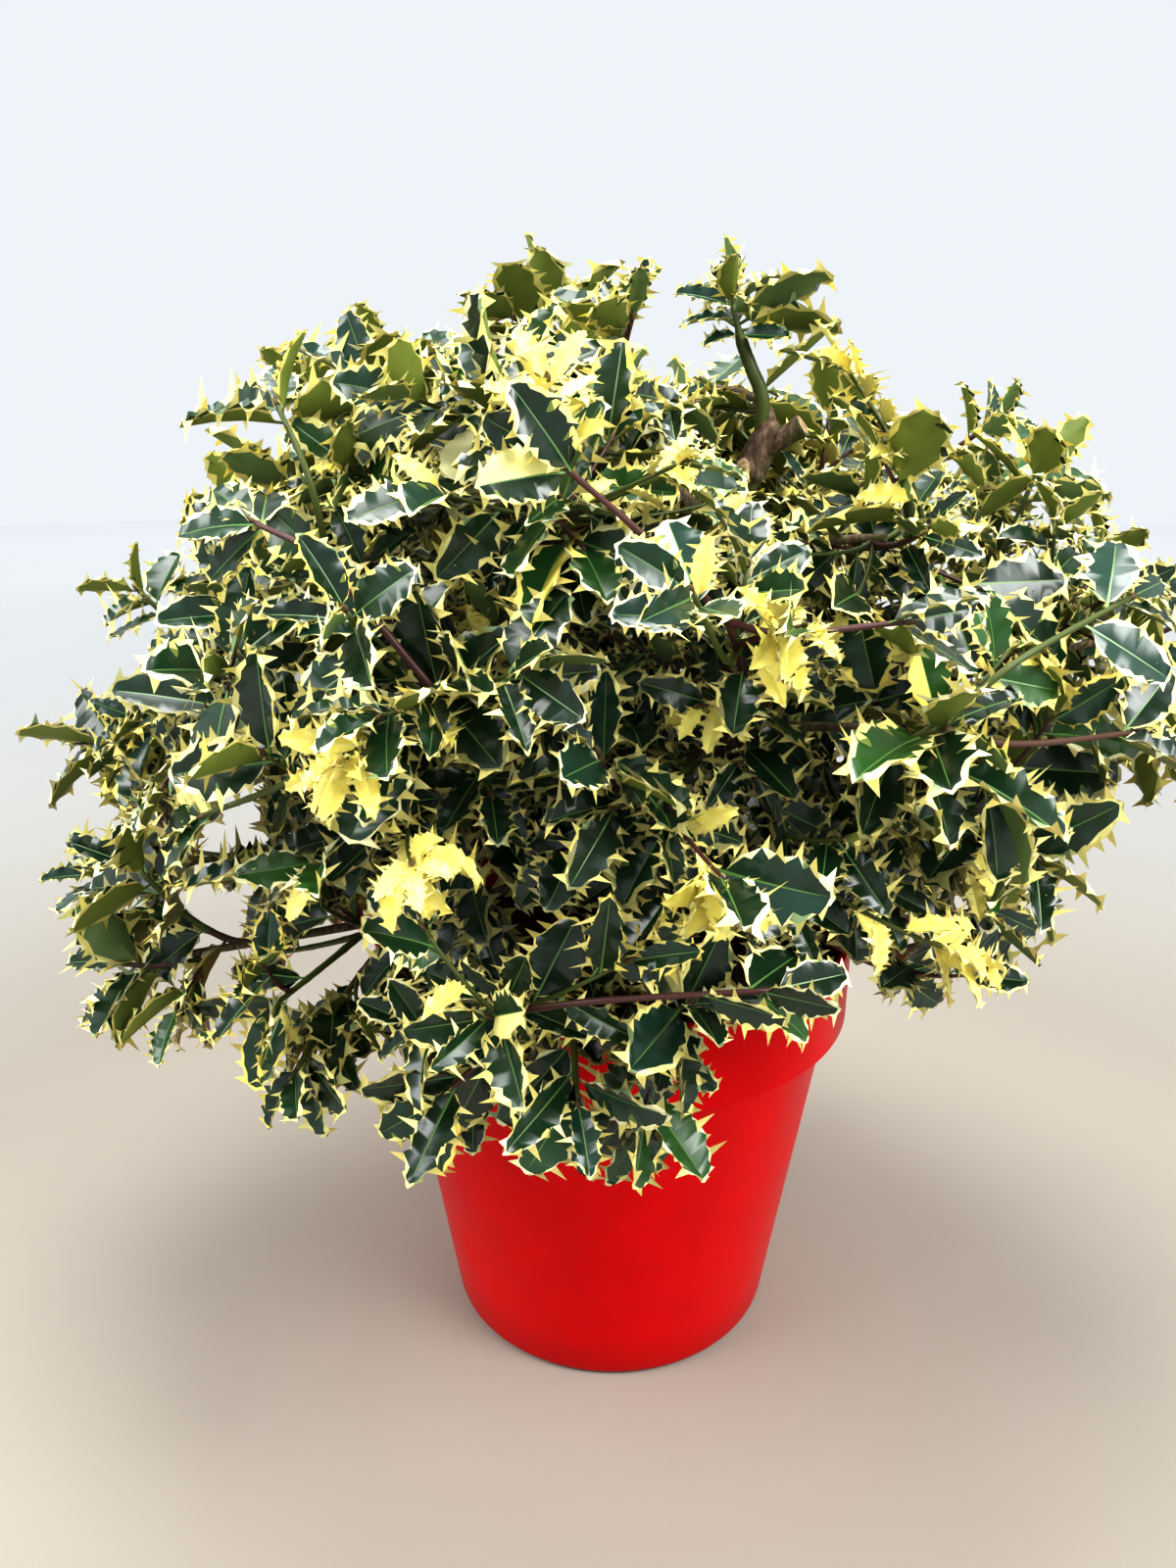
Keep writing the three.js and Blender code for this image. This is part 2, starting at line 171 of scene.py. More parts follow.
# %% [markdown]
# ## Floor and light
# A round sheet of pale paper is the floor. Its tone is painted against the lamps: warm grey round the pot,
# darkest some 60 cm off, where the lamps light it most (painted shade), and nearly white further off, where
# their light falls away (painted light), so that it meets the pale world. The light is soft: a pale world
# all round, the strongest lamp above the viewer's right shoulder for the shine on the leaves, a weaker one
# on the left and one above the crown. The Standard view shows the hex colours as they are, and its gamma of
# 0.8 deepens the mid-tones, where leaf shades leaf.

# %% Floor and light
FLOOR_RADIUS = 6.0
# The span over which the painted falloff turns the paper from grey to white.
PAINTED_FALLOFF_SPAN = {"From Min": 0.2, "From Max": 5.0}  # metres from the pot's axis over which the paper turns white
LIT_POINT = Vector((0, 0, 0.4))  # the middle of the crown
# Each lamp's name, place, size in metres and power in watts.
LAMPS = [
    ("key_lamp", (1.6, -1.2, 2.0), 1.3, 82),
    ("fill_lamp", (-1.8, -0.8, 1.8), 1.3, 54),
    ("top_lamp", (-0.1, 0.3, 2.4), 1.2, 60),
]

floor_bm = bmesh.new()
bmesh.ops.create_circle(floor_bm, cap_ends=True, radius=FLOOR_RADIUS, segments=96)
floor = put_in_scene("floor", mesh_of(floor_bm, "floor"))
paper = new_material("matt_paper")
paper_place = add_node(paper, "ShaderNodeTexCoord")
paper_distance = add_node(paper, "ShaderNodeVectorMath", {"operation": "LENGTH"},
                          {"Vector": (paper_place, "Object")})
paper_painted_falloff = add_node(paper, "ShaderNodeMapRange", PAINTED_FALLOFF_SPAN, {"Value": (paper_distance, "Value")})
# Painted shade and light: the paper is darkest where the lamps light it most and whitens where their light
# falls away.
paper_tones_and_painted_falloff = [(0, "#A39C92"), (0.08, "#979188"), (0.17, "#9D9B96"), (0.3, "#ACACAB"), (0.5, "#C9CACA"),
               (0.75, "#E5E6E6"), (1, "#F1F2F2")]
paper_colour_and_painted_falloff = add_node(paper, "ShaderNodeValToRGB", {"stops": paper_tones_and_painted_falloff},
                        {"Fac": (paper_painted_falloff, "Result")})
surface(paper, {"Roughness": 1.0, "Specular IOR Level": 0.0}, {"Base Color": (paper_colour_and_painted_falloff, "Color")})
floor.data.materials.append(paper)

world = bpy.data.worlds.new("soft_room")
world.use_nodes = True
world.node_tree.nodes.clear()
world_place = add_node(world, "ShaderNodeTexCoord")
world_height = add_node(world, "ShaderNodeSeparateXYZ", links={"Vector": (world_place, "Generated")})
world_strength = add_node(world, "ShaderNodeMapRange",
                          {"From Min": 0.3, "From Max": 0.6, "To Min": 1.03, "To Max": 1.07},
                          {"Value": (world_height, "Z")})
background = add_node(world, "ShaderNodeBackground", {"Color": linear("#EFF3F7")},
                      {"Strength": (world_strength, "Result")})
add_node(world, "ShaderNodeOutputWorld", links={"Surface": (background, "Background")})
bpy.context.scene.world = world
view = bpy.context.scene.view_settings
view.view_transform = "Standard"
view.gamma = 0.8


def add_lamp(name, place, size, power):
    """A square lamp that faces the crown."""
    lamp = put_in_scene(name, bpy.data.lights.new(name, "AREA"))
    lamp.data.size = size
    lamp.data.energy = power
    lamp.location = place
    lamp.rotation_euler = (Vector(place) - LIT_POINT).to_track_quat("Z", "Y").to_euler()


for lamp_settings in LAMPS:
    add_lamp(*lamp_settings)
print("a floor", FLOOR_RADIUS, "m in radius and", len(LAMPS), "lamps")

# %% [markdown]
# ## The pot
# The real pot is injection-moulded polypropylene, 30 cm across, with a broad plain band under its rim.
# It could be a cylinder that is scaled and cut, but a turned shape is best spun: its profile, drawn once
# from the underside's middle round the rim to the inner floor, goes once round the axis. The corners of
# the profile are then bevelled, because a mould leaves none sharp.

# %% The pot's shape
POT_HEIGHT = 268 * MM
BAND_HEIGHT = 54 * MM
BAND_FOOT = POT_HEIGHT - BAND_HEIGHT
BAND_RADIUS = 149 * MM
RIM_RADIUS = 150 * MM
SHOULDER_RADIUS = 138 * MM
BASE_RADIUS = 105 * MM
POT_WALL = 3 * MM
POT_FLOOR = 4 * MM
LIP = 5 * MM  # the height of the thicker edge at the top of the band
POT_STEPS = 128
CORNER = 20  # degrees: the profile turns by more at a corner
FOOT_ROUNDING = 6 * MM
EDGE_ROUNDING = 0.7 * MM

POT_PROFILE = [
    (0, 0),
    (BASE_RADIUS - 1 * MM, 0),
    (SHOULDER_RADIUS, BAND_FOOT),
    (BAND_RADIUS - 0.6 * MM, BAND_FOOT + 0.4 * MM),
    (BAND_RADIUS, POT_HEIGHT - LIP - 1 * MM),
    (RIM_RADIUS, POT_HEIGHT - LIP),
    (RIM_RADIUS, POT_HEIGHT),
    (RIM_RADIUS - POT_WALL - 1 * MM, POT_HEIGHT),
    (BAND_RADIUS - POT_WALL, POT_HEIGHT - LIP),
    (BAND_RADIUS - POT_WALL, BAND_FOOT + POT_WALL + 2 * MM),
    (SHOULDER_RADIUS - POT_WALL, BAND_FOOT - 1 * MM),
    (BASE_RADIUS - POT_WALL, POT_FLOOR),
    (0, POT_FLOOR),
]


def spun(profile, turns):
    """A closed turned shape from the radii and heights of its profile."""
    bm = bmesh.new()
    points = [bm.verts.new((radius, 0, height)) for radius, height in profile]
    lines = [bm.edges.new(pair) for pair in zip(points, points[1:])]
    bmesh.ops.spin(bm, geom=points + lines, cent=(0, 0, 0), axis=(0, 0, 1), angle=2 * math.pi,
                   steps=turns, use_merge=True)
    bmesh.ops.remove_doubles(bm, verts=bm.verts, dist=1e-6)
    return bm


def round_corners(bm, lowest, highest, offset, segments):
    """Bevels the corners that run round the shape between two heights."""
    chosen = []
    for edge in bm.edges:
        low, high = sorted(vertex.co.z for vertex in edge.verts)
        level = high - low < 1e-6 and lowest < edge.verts[0].co.z < highest
        if level and edge.calc_face_angle(0) > math.radians(CORNER):
            chosen.append(edge)
    bmesh.ops.bevel(bm, geom=chosen, offset=offset, segments=segments, profile=0.5, affect="EDGES",
                    material=-1)


pot_bm = spun(POT_PROFILE, POT_STEPS)
bmesh.ops.recalc_face_normals(pot_bm, faces=pot_bm.faces)
round_corners(pot_bm, -1e-6, 1e-6, FOOT_ROUNDING, 5)
round_corners(pot_bm, BAND_FOOT - 2 * MM, math.inf, EDGE_ROUNDING, 2)
print("the pot has", len(pot_bm.faces), "faces")

# %% [markdown]
# ## Red polypropylene
# Polypropylene is moulded against polished steel, so it has a broad soft shine, with an index of about
# 1.49. A full shine would bleach the red in so pale a room, so its specular level is turned well down.
# Handling leaves faint dull patches, and a fine orange-peel ripple breaks up the reflections. Splashed
# compost dulls its foot. A noise's scale is the number of its grains in a metre: one over a grain's size.

# %% Red polypropylene
HANDLED_PATCH = 1000 / 24 * MM  # 24 of them in a metre
RIPPLE = 1000 / 330 * MM
SPLASHED_TO = 35 * MM  # the height at which the dust ends

red_plastic = new_material("moulded_red_polypropylene")
red_place = add_node(red_plastic, "ShaderNodeTexCoord")
red_patches = add_node(red_plastic, "ShaderNodeTexNoise", {"Scale": 1 / HANDLED_PATCH, "Detail": 4.0},
                       {"Vector": (red_place, "Object")})
red_ripple = add_node(red_plastic, "ShaderNodeTexNoise", {"Scale": 1 / RIPPLE, "Detail": 2.0},
                      {"Vector": (red_place, "Object")})
red_height = add_node(red_plastic, "ShaderNodeSeparateXYZ", links={"Vector": (red_place, "Object")})
red_dust = add_node(red_plastic, "ShaderNodeMapRange",
                    {"From Min": 0.0, "From Max": SPLASHED_TO, "To Min": 0.35, "To Max": 0.0},
                    {"Value": (red_height, "Z")})
red_tone = add_node(red_plastic, "ShaderNodeValToRGB", {"stops": [(0.3, "#C9000A"), (0.7, "#D6000C")]},
                    {"Fac": (red_patches, "Fac")})
red_worn = add_node(red_plastic, "ShaderNodeMix", {"data_type": "RGBA", "B_Color": linear("#7A1A12")},
                    {"Factor_Float": (red_dust, "Result"), "A_Color": (red_tone, "Color")})
red_shine = add_node(red_plastic, "ShaderNodeMapRange",
                     {"From Min": 0.3, "From Max": 0.75, "To Min": 0.27, "To Max": 0.4},
                     {"Value": (red_patches, "Fac")})
red_relief = add_node(red_plastic, "ShaderNodeBump", {"Strength": 0.05, "Distance": 0.001},
                      {"Height": (red_ripple, "Fac")})
surface(red_plastic, {"IOR": 1.49, "Specular IOR Level": 0.06}, {
    "Base Color": (red_worn, "Result_Color"), "Roughness": (red_shine, "Result"),
    "Normal": (red_relief, "Normal")})
add_piece("pot_shell", mesh_of(pot_bm, "pot_shell"), [red_plastic], ["pot"], sharp=32)

# %% [markdown]
# ## Compost
# The compost is peat and composted bark: a dark, matt, lumpy bed that rises a little towards the trunk.
# A flat disc would look poured, so a disc of fine rings is spun and noise lifts its points. Loose crumbs
# and bark chips come with the other small things, further down.

# %% Compost
SOIL_TOP = 240 * MM
SOIL_RISE = 4 * MM
SOIL_RADIUS = 145 * MM
SOIL_DEPTH = 16 * MM
SOIL_RINGS = 44
SOIL_STEPS = 150
LUMP = 3.5 * MM
LUMP_WIDTH = 14 * MM
PEAT_FIBRE = 6.25 * MM


def soil_height(x, y):
    """How high the compost lies at a point of the bed."""
    out = math.hypot(x, y) / SOIL_RADIUS
    lumps = noise.fractal(Vector((x, y, 0.3)) / LUMP_WIDTH, 0.8, 2.1, 4)
    return SOIL_TOP - SOIL_RISE * out ** 2 + LUMP * lumps * (1 - out ** 8)


bed = [(SOIL_RADIUS * i / SOIL_RINGS, SOIL_TOP) for i in range(SOIL_RINGS + 1)]
bed += [(SOIL_RADIUS, SOIL_TOP - SOIL_DEPTH), (0, SOIL_TOP - SOIL_DEPTH)]
soil_bm = spun(bed, SOIL_STEPS)
for vertex in soil_bm.verts:
    if vertex.co.z > SOIL_TOP - 1e-5:
        vertex.co.z = soil_height(vertex.co.x, vertex.co.y)

peat = new_material("peat_and_composted_bark")
peat_place = add_node(peat, "ShaderNodeTexCoord")
peat_fibres = add_node(peat, "ShaderNodeTexNoise", {"Scale": 1 / PEAT_FIBRE, "Detail": 6.0},
                       {"Vector": (peat_place, "Object")})
peat_tone = add_node(peat, "ShaderNodeValToRGB",
                     {"stops": [(0.3, "#120C08"), (0.55, "#2E2016"), (0.75, "#5A4330")]},
                     {"Fac": (peat_fibres, "Fac")})
peat_relief = add_node(peat, "ShaderNodeBump", {"Strength": 0.8, "Distance": 0.002},
                       {"Height": (peat_fibres, "Fac")})
surface(peat, {"Roughness": 0.95},
        {"Base Color": (peat_tone, "Color"), "Normal": (peat_relief, "Normal")})
add_piece("compost", mesh_of(soil_bm, "compost"), [peat], ["soil"])

# %% [markdown]
# ## The growth rule
# The frame's solids were grown by a seeded rule, and the same rule grows the finer plant here, within the
# same reach. Places are spread evenly over the crown's outline by the golden angle. Each belongs to the
# mass whose middle is nearest. A mass has one stem, and its twigs leave the stem where their tips lie at
# half a right angle to it.

# %% The rule's helpers
GOLDEN_ANGLE = math.pi * (3 - math.sqrt(5))
UP = Vector((0, 0, 1))


def mix(start, end, share):
    """The value that lies this share of the way from start to end."""
    return start + (end - start) * share


def steps(start, end, count):
    """Evenly spaced values from start to end."""
    return [mix(start, end, i / count) for i in range(count + 1)]


def within_one(value):
    """The value, or 0 or 1 where it lies beyond them."""
    return max(0.0, min(1.0, value))


def points_of(line, count, first=0):
    """Evenly spaced points of a line, from a share of its length to its end."""
    return [line(t) for t in steps(first, 1, count)]


def stream(seed):
    """A repeatable stream of numbers from 0 to 1."""
    state = (seed * 7919 + 17) & 0xFFFFFFFF

    def draw():
        nonlocal state
        state = (state * 1664525 + 1013904223) & 0xFFFFFFFF
        return state / 4294967296

    return draw


def bend(start, control, end):
    """A smooth bend from start to end, pulled towards the control point."""
    return lambda t: start.lerp(control, t).lerp(control.lerp(end, t), t)


def through(points):
    """A smooth line through points, from the first at 0 to the last at 1."""
    around = [points[0] * 2 - points[1]] + points + [points[-1] * 2 - points[-2]]

    def line(t):
        place = within_one(t) * (len(points) - 1)
        i = min(int(place), len(points) - 2)
        u = place - i
        a, b, c, d = around[i:i + 4]
        return ((b * 2) + (c - a) * u + (a * 2 - b * 5 + c * 4 - d) * u * u
                + (b * 3 - a - c * 3 + d) * u ** 3) / 2
    return line


def sideways(direction, angle):
    """A unit vector square to the given one, turned about it by an angle."""
    reference = Vector((1, 0, 0)) if abs(direction.z) > 0.9 else UP
    return Matrix.Rotation(angle, 3, direction) @ direction.cross(reference).normalized()


def heading(azimuth, sine):
    """A direction from its azimuth and the sine of its elevation."""
    level = math.sqrt(1 - sine * sine)
    return Vector((level * math.cos(azimuth), level * math.sin(azimuth), sine))


def distance_to(point, start, end):
    """How far a point lies from the straight line between two others."""
    share = (point - start).dot(end - start) / (end - start).length_squared
    return (point - start.lerp(end, within_one(share))).length


# %% [markdown]
# The trunk leans to the right and bows to the left and back on its way. The crown is an ellipsoid above
# its centre, and squarer below it, where it hangs over the rim.

# %% Trunk line and crown outline
TRUNK_FOOT = Vector((-4, 4, 240.3)) * MM
TRUNK_TOP = Vector((86, 0, 562)) * MM
TRUNK_BOW = Vector((-20, 26, 0)) * MM
BOW_SKEW = 0.35
LAST_SECTION = (10 / 11) ** 1.25  # where the last stretch of the solid trunk starts

CROWN_CENTRE = Vector((0, 0, 400)) * MM
CROWN_HALF_WIDTH = 334 * MM
CROWN_HALF_DEPTH = 276 * MM
CROWN_RISE = 252 * MM
CROWN_DROP = 200 * MM
CROWN_SQUARENESS = 3.2
LOWEST = -0.66


def trunk_point(t):
    """A point of the trunk's heart, from its foot at 0 to its top at 1."""
    swing = math.sin(math.pi * t) * (1 - BOW_SKEW * t)
    return TRUNK_FOOT.lerp(TRUNK_TOP, t) + TRUNK_BOW * swing


def crown_reach(direction):
    """How far the crown's outline lies from its centre in a direction."""
    level = math.hypot(direction.x / CROWN_HALF_WIDTH, direction.y / CROWN_HALF_DEPTH)
    if direction.z > 0:
        return 1 / math.hypot(level, direction.z / CROWN_RISE)
    power = CROWN_SQUARENESS
    return 1 / (level ** power + (-direction.z / CROWN_DROP) ** power) ** (1 / power)


print("the trunk is", round((TRUNK_TOP - TRUNK_FOOT).length, 3), "m from foot to top")

# %% [markdown]
# Rings of boughs leave the trunk at three heights, and one more near its top. Each arches most of the way
# to the middle of its mass. The leading shoot carries on from the top of the trunk.

# %% Boughs and masses
# Name, count, elevation and azimuth of the middles in degrees, height of the boughs and its stagger in mm.
RINGS = [
    ("low", 7, -24, 12, 296, 13),
    ("middle", 7, 13, 38, 356, 16),
    ("upper", 5, 47, 20, 430, 18),
    ("crest", 1, 80, 180, 500, 0),
]
MIDDLE_SHARE = 0.7
BOUGH_SHARE = 0.6
BOUGH_LIFT = 14 * MM
LEADER_MIDDLE = Vector((78, 0, 580)) * MM


def bough_line(middle, height):
    """The line of a bough's heart, from the trunk's heart most of the way to its mass's middle."""
    start = trunk_point((height * MM - TRUNK_FOOT.z) / (TRUNK_TOP.z - TRUNK_FOOT.z))
    end = start.lerp(middle, BOUGH_SHARE)
    return bend(start, start.lerp(end, 0.5) + UP * BOUGH_LIFT, end)


masses = []
for ring, count, elevation, first_azimuth, bough_height, stagger in RINGS:
    for i in range(count):
        azimuth = math.radians(first_azimuth + 360 / count * i)
        direction = heading(azimuth, math.sin(math.radians(elevation)))
        middle = CROWN_CENTRE + direction * crown_reach(direction) * MIDDLE_SHARE
        line = bough_line(middle, bough_height + (stagger if i % 2 else -stagger))
        name = f"{ring}_{i + 1}" if count > 1 else ring
        masses.append({"name": name, "middle": middle, "end": line(1), "line": line, "tips": [],
                       "ahead": (line(1) - line(0.75)).normalized()})
trunk_end = [trunk_point(LAST_SECTION), trunk_point(1.0)]
masses.append({"name": "leader", "middle": LEADER_MIDDLE, "end": trunk_end[1], "line": None, "tips": [],
               "ahead": (trunk_end[1] - trunk_end[0]).normalized()})
print(len(masses), "masses")

# %% [markdown]
# Twigs end a little short of the outline, because the last leaf stands out beyond them. Long shoots break
# the outline, hollows dent it, and no leaf grows in some openings, where one sees into the crown or past
# it.

# %% Tips of the twigs
SEED = 22
TIPS = 64
UNEVENNESS = 0.06
LEAF_LENGTH = 51 * MM
LEAF_REACH = 0.8
LEADER_TIP = Vector((62, 2, 629)) * MM
OPEN_FRONT = (284, 326, 284 * MM)  # azimuths between which no twig ends lower, so that the pot's rim shows
# Azimuth in degrees, and distance from the axis and height in mm.
LONG_SHOOTS = [
    (178, 46, 660), (182, 152, 640), (176, 204, 612), (186, 242, 548), (184, 312, 484), (181, 356, 376),
    (188, 348, 296), (206, 324, 276), (230, 276, 244), (250, 266, 250), (266, 258, 254), (4, 246, 592),
    (352, 262, 564), (2, 318, 508), (352, 358, 474), (354, 356, 388), (340, 262, 290),
]
# Azimuth, elevation and spread from the crown's centre, in degrees, and the share of its reach that is
# missing.
HOLLOWS = [
    (190, 20, 19, 0.23), (190, -12, 10, 0.12), (186, 60, 10, 0.2), (350, -28, 16, 0.3), (334, -17, 16, 0.3),
    (356, 49, 14, 0.23), (352, 24, 9, 0.1), (345, 1, 8, 0.12), (80, 24, 14, 0.09), (128, -12, 15, 0.1),
    (48, -28, 13, 0.12), (110, 58, 12, 0.08),
    (277, 4, 13, 0.15),  # the dark recess in front
]
# Each runs from one point to another, with a radius, in mm.
OPENINGS = [
    ((64, -200, 568), (84, -20, 564), 24),  # before the pruned top of the trunk
    ((129, -150, 598), (209, 150, 606), 26),  # to the right of the leading shoot
    ((-100, -100, 620), (-138, 150, 640), 16),  # a notch at the top, on the left
    ((82, -110, 592), (72, 0, 602), 19),  # before the leading shoot
    ((30, -120, 602), (42, 150, 614), 24),  # to the left of it
    ((-165, -240, 369), (-290, 100, 215), 15),  # gaps low down on the left, through which one sees past
    ((-118, -235, 348), (-215, 100, 190), 17),
    ((-150, -240, 414), (-265, 100, 291), 13),
]


def shell_reach(direction):
    """How far the crown reaches in a direction, hollows and all."""
    missing = 0.0
    for azimuth, elevation, spread, share in HOLLOWS:
        middle = heading(math.radians(azimuth), math.sin(math.radians(elevation)))
        away = math.degrees(direction.angle(middle))
        missing = max(missing, share * math.exp(-(away / spread) ** 2))
    return crown_reach(direction) * (1 - missing)


def hangs_in(front, point):
    """Whether a point lies between two azimuths, in degrees, and lower than a height."""
    first, last, height = front
    azimuth = math.degrees(math.atan2(point.y, point.x)) % 360
    return first < azimuth < last and point.z < height


def in_opening(point):
    """Whether a point lies in one of the crown's openings."""
    return any(distance_to(point, Vector(start) * MM, Vector(end) * MM) < radius * MM
               for start, end, radius in OPENINGS)


def golden_places(count, share, draw, unevenness=UNEVENNESS):
    """Places spread evenly over the crown, at a share of its reach."""
    places = []
    for k in range(count):
        direction = heading(k * GOLDEN_ANGLE, mix(1, LOWEST, (k + 0.5) / count))
        reach = shell_reach(direction) * (1 + unevenness * (2 * draw() - 1))
        places.append(CROWN_CENTRE + direction * reach * share)
    return places


def tip_for(place):
    """The end of a twig whose last leaf reaches a place."""
    return place + (CROWN_CENTRE - place).normalized() * LEAF_LENGTH * LEAF_REACH


def nearest_mass(point):
    """The mass whose middle is nearest."""
    return min(masses, key=lambda mass: (mass["middle"] - point).length)


coarse_places = golden_places(TIPS, 1, stream(SEED))
for azimuth, out, height in LONG_SHOOTS:
    coarse_places.append((heading(math.radians(azimuth), 0) * out + UP * height) * MM)
for place in coarse_places:
    if not hangs_in(OPEN_FRONT, place):
        tip = tip_for(place)
        nearest_mass(tip)["tips"].append(tip)
masses[-1]["tips"].append(LEADER_TIP)
print(sum(len(mass["tips"]) for mass in masses), "twig tips")

# %% [markdown]
# A stem grows on from its bough past the mass's middle. A twig sags a little between its foot and its
# tip, and keeps outside the pot.

# %% Stems and twigs
STEM_SHARE = 0.82
STEM_STRAIGHT = 30 * MM
TWIG_SAG = 10 * MM
TWIG_STRAIGHT = 0.3
TWIG_FEET = steps(0.06, 0.94, 44)  # where twigs may leave what carries them, as shares of its length
AHEAD = 0.02  # the share of a line over which its direction is taken
ABOVE_POT, BESIDE_POT = 2 * MM, 3 * MM  # the room that twigs and leaves leave round the pot


def stem_line(mass):
    """The line of a mass's stem, towards its farthest tip."""
    start = mass["end"]
    farthest = max(mass["tips"], key=lambda tip: (tip - start).length)
    end = start.lerp(farthest, STEM_SHARE)
    control = start.lerp(mass["middle"], 0.5).lerp(start + mass["ahead"] * STEM_STRAIGHT, 0.5)
    return bend(start, control, end)


def twig_line(parent, tip, sag=TWIG_SAG):
    """The line of a twig that leaves its parent where its tip lies at half a right angle."""
    def slant(t):
        along = (parent(t + AHEAD) - parent(t)).normalized()
        ahead = (tip - parent(t)).dot(along)
        aside = math.sqrt(max(0.0, (parent(t) - tip).length_squared - ahead * ahead))
        return abs(ahead - aside)

    foot = min(TWIG_FEET, key=slant)
    start = parent(foot)
    along = (parent(foot + AHEAD) - start).normalized()
    straight = start + along * (tip - start).length * TWIG_STRAIGHT
    return bend(start, straight.lerp(start.lerp(tip, 0.5), 0.5) - UP * sag, tip)


def clear_of_pot(point):
    """Whether a point lies outside the pot's wall."""
    return point.z > POT_HEIGHT + ABOVE_POT or math.hypot(point.x, point.y) > RIM_RADIUS + BESIDE_POT


def length_of(line):
    """The length of a line, near enough."""
    points = points_of(line, 8)
    return sum((b - a).length for a, b in zip(points, points[1:]))


twigs = []
for mass in masses:
    mass["stem"] = stem_line(mass)
    for tip in mass["tips"]:
        line = twig_line(mass["stem"], tip)
        if all(clear_of_pot(point) for point in points_of(line, 8)) and not in_opening(tip):
            twigs.append({"mass": mass, "line": line, "length": length_of(line)})
print(len(twigs), "twigs")

# %% [markdown]
# The same rule once more, finer: shoots grow from the twigs to some hundreds of places, most of them on
# the outline and some inside it, so that the crown is deep. Each leaves the twig that passes nearest to its
# tip. A few, in chosen places, have lost all their green.

# %% Shoots
FINE_SEED = 7
SHOOT_LAYERS = [(250, 0.95), (80, 0.78), (40, 0.62)]  # how many, at a share of the crown's reach
FINE_UNEVENNESS = 0.13
FIRST_SHOOT_AT = 0.15  # as a share of the twig's length
SHOOT_SAG = 3 * MM
SHORTEST_SHOOT = 16 * MM
YELLOW_ROSETTE = 7  # leaves in the rosette of a yellow shoot
# Where the yellow shoots end, in mm.
YELLOW_PLACES = [
    (-110, -246, 440), (-79, -259, 404), (72, -238, 494), (28, -206, 554), (44, -264, 399),
    (148, -237, 355), (-28, -174, 584), (98, -144, 592), (-60, 190, 520), (140, 200, 420),
    (-220, 110, 470), (250, 40, 430), (-150, 180, 330), (40, 230, 380),
]

twig_samples = [(twig, t, twig["line"](t)) for twig in twigs for t in steps(FIRST_SHOOT_AT, 1, 12)]
sample_places = np.array([place for _, _, place in twig_samples])


def nearest_twig(point):
    """The twig that passes nearest to a point."""
    distances = np.linalg.norm(sample_places - np.array(point), axis=1)
    return twig_samples[int(distances.argmin())][0]


def shoot_to(tip):
    """A shoot that ends at a point."""
    twig = nearest_twig(tip)
    line = twig_line(twig["line"], tip, SHOOT_SAG)
    return {"mass": twig["mass"], "line": line, "length": length_of(line)}


def may_grow(shoot):
    """Whether a shoot is long enough and keeps out of the openings and the pot."""
    if any(in_opening(point) for point in points_of(shoot["line"], 6, 0.3)):
        return False
    if shoot["length"] <= SHORTEST_SHOOT:
        return False
    return all(clear_of_pot(point) for point in points_of(shoot["line"], 6))


fine_draw = stream(FINE_SEED)
fine_places = []
for count, share in SHOOT_LAYERS:
    fine_places += golden_places(count, share, fine_draw, FINE_UNEVENNESS)
yellow_shoots = [shoot_to(Vector(place) * MM) for place in YELLOW_PLACES]
for shoot in yellow_shoots:
    shoot["rosette"] = YELLOW_ROSETTE
fine_tips = [tip_for(place) for place in fine_places if not hangs_in(OPEN_FRONT, place)]
shoots = [shoot for shoot in (shoot_to(tip) for tip in fine_tips if clear_of_pot(tip)) if may_grow(shoot)]
print(len(shoots), "shoots and", len(yellow_shoots), "yellow ones")

# %% [markdown]
# A few longer shoots run bare along the outside of the crown and end in a rosette, and one was broken off.
# Each passes a place on the outline on its way to its end, and starts on the twig that lets it run
# straight.

# %% Shoots that show
OLIVE, PURPLE, BROWN = range(3)  # the finishes of young bark
# A place on the outline and the end, in mm, the bark, and the share that is bare.
SHOWN_SHOOTS = [
    ((18, -220, 520), (-26, -206, 556), PURPLE, 0.85),
    ((-6, -248, 338), (66, -250, 345), PURPLE, 0.75),
    ((67, -232, 490), (113, -228, 494), PURPLE, 0.85),
    ((-119, -204, 513), (-152, -186, 528), PURPLE, 0.8),
    ((-134, -160, 545), (-150, -142, 574), OLIVE, 0.8),
    ((-127, -232, 431), (-172, -222, 410), OLIVE, 0.8),
    ((165, -206, 473), (226, -165, 494), OLIVE, 0.75),
    ((171, -204, 438), (238, -168, 434), BROWN, 0.75),
    ((44, -222, 478), (29, -246, 508), OLIVE, 0.7),
    ((-98, -200, 468), (-106, -226, 497), OLIVE, 0.7),
]
BROKEN_SHOOTS = [((143, -112, 296), (171, -122, 306))]
SHOWN_LEAF = 46 * MM  # the length of the leaves on a shoot that shows
# Points of the leading shoot between the trunk and its tip, in mm.
LEADER_POINTS = [(81, 0, 577), (74, 0, 594), (68, 2, 609)]
LEADER_FOOT = 0.96  # where it leaves the trunk
# It is thick up to its last node and thin above it: its radius at shares of its length.
LEADER_RADII = [(0, 4.4 * MM), (0.7, 3.5 * MM), (0.76, 3.6 * MM), (0.8, 1.7 * MM), (1, 1.3 * MM)]
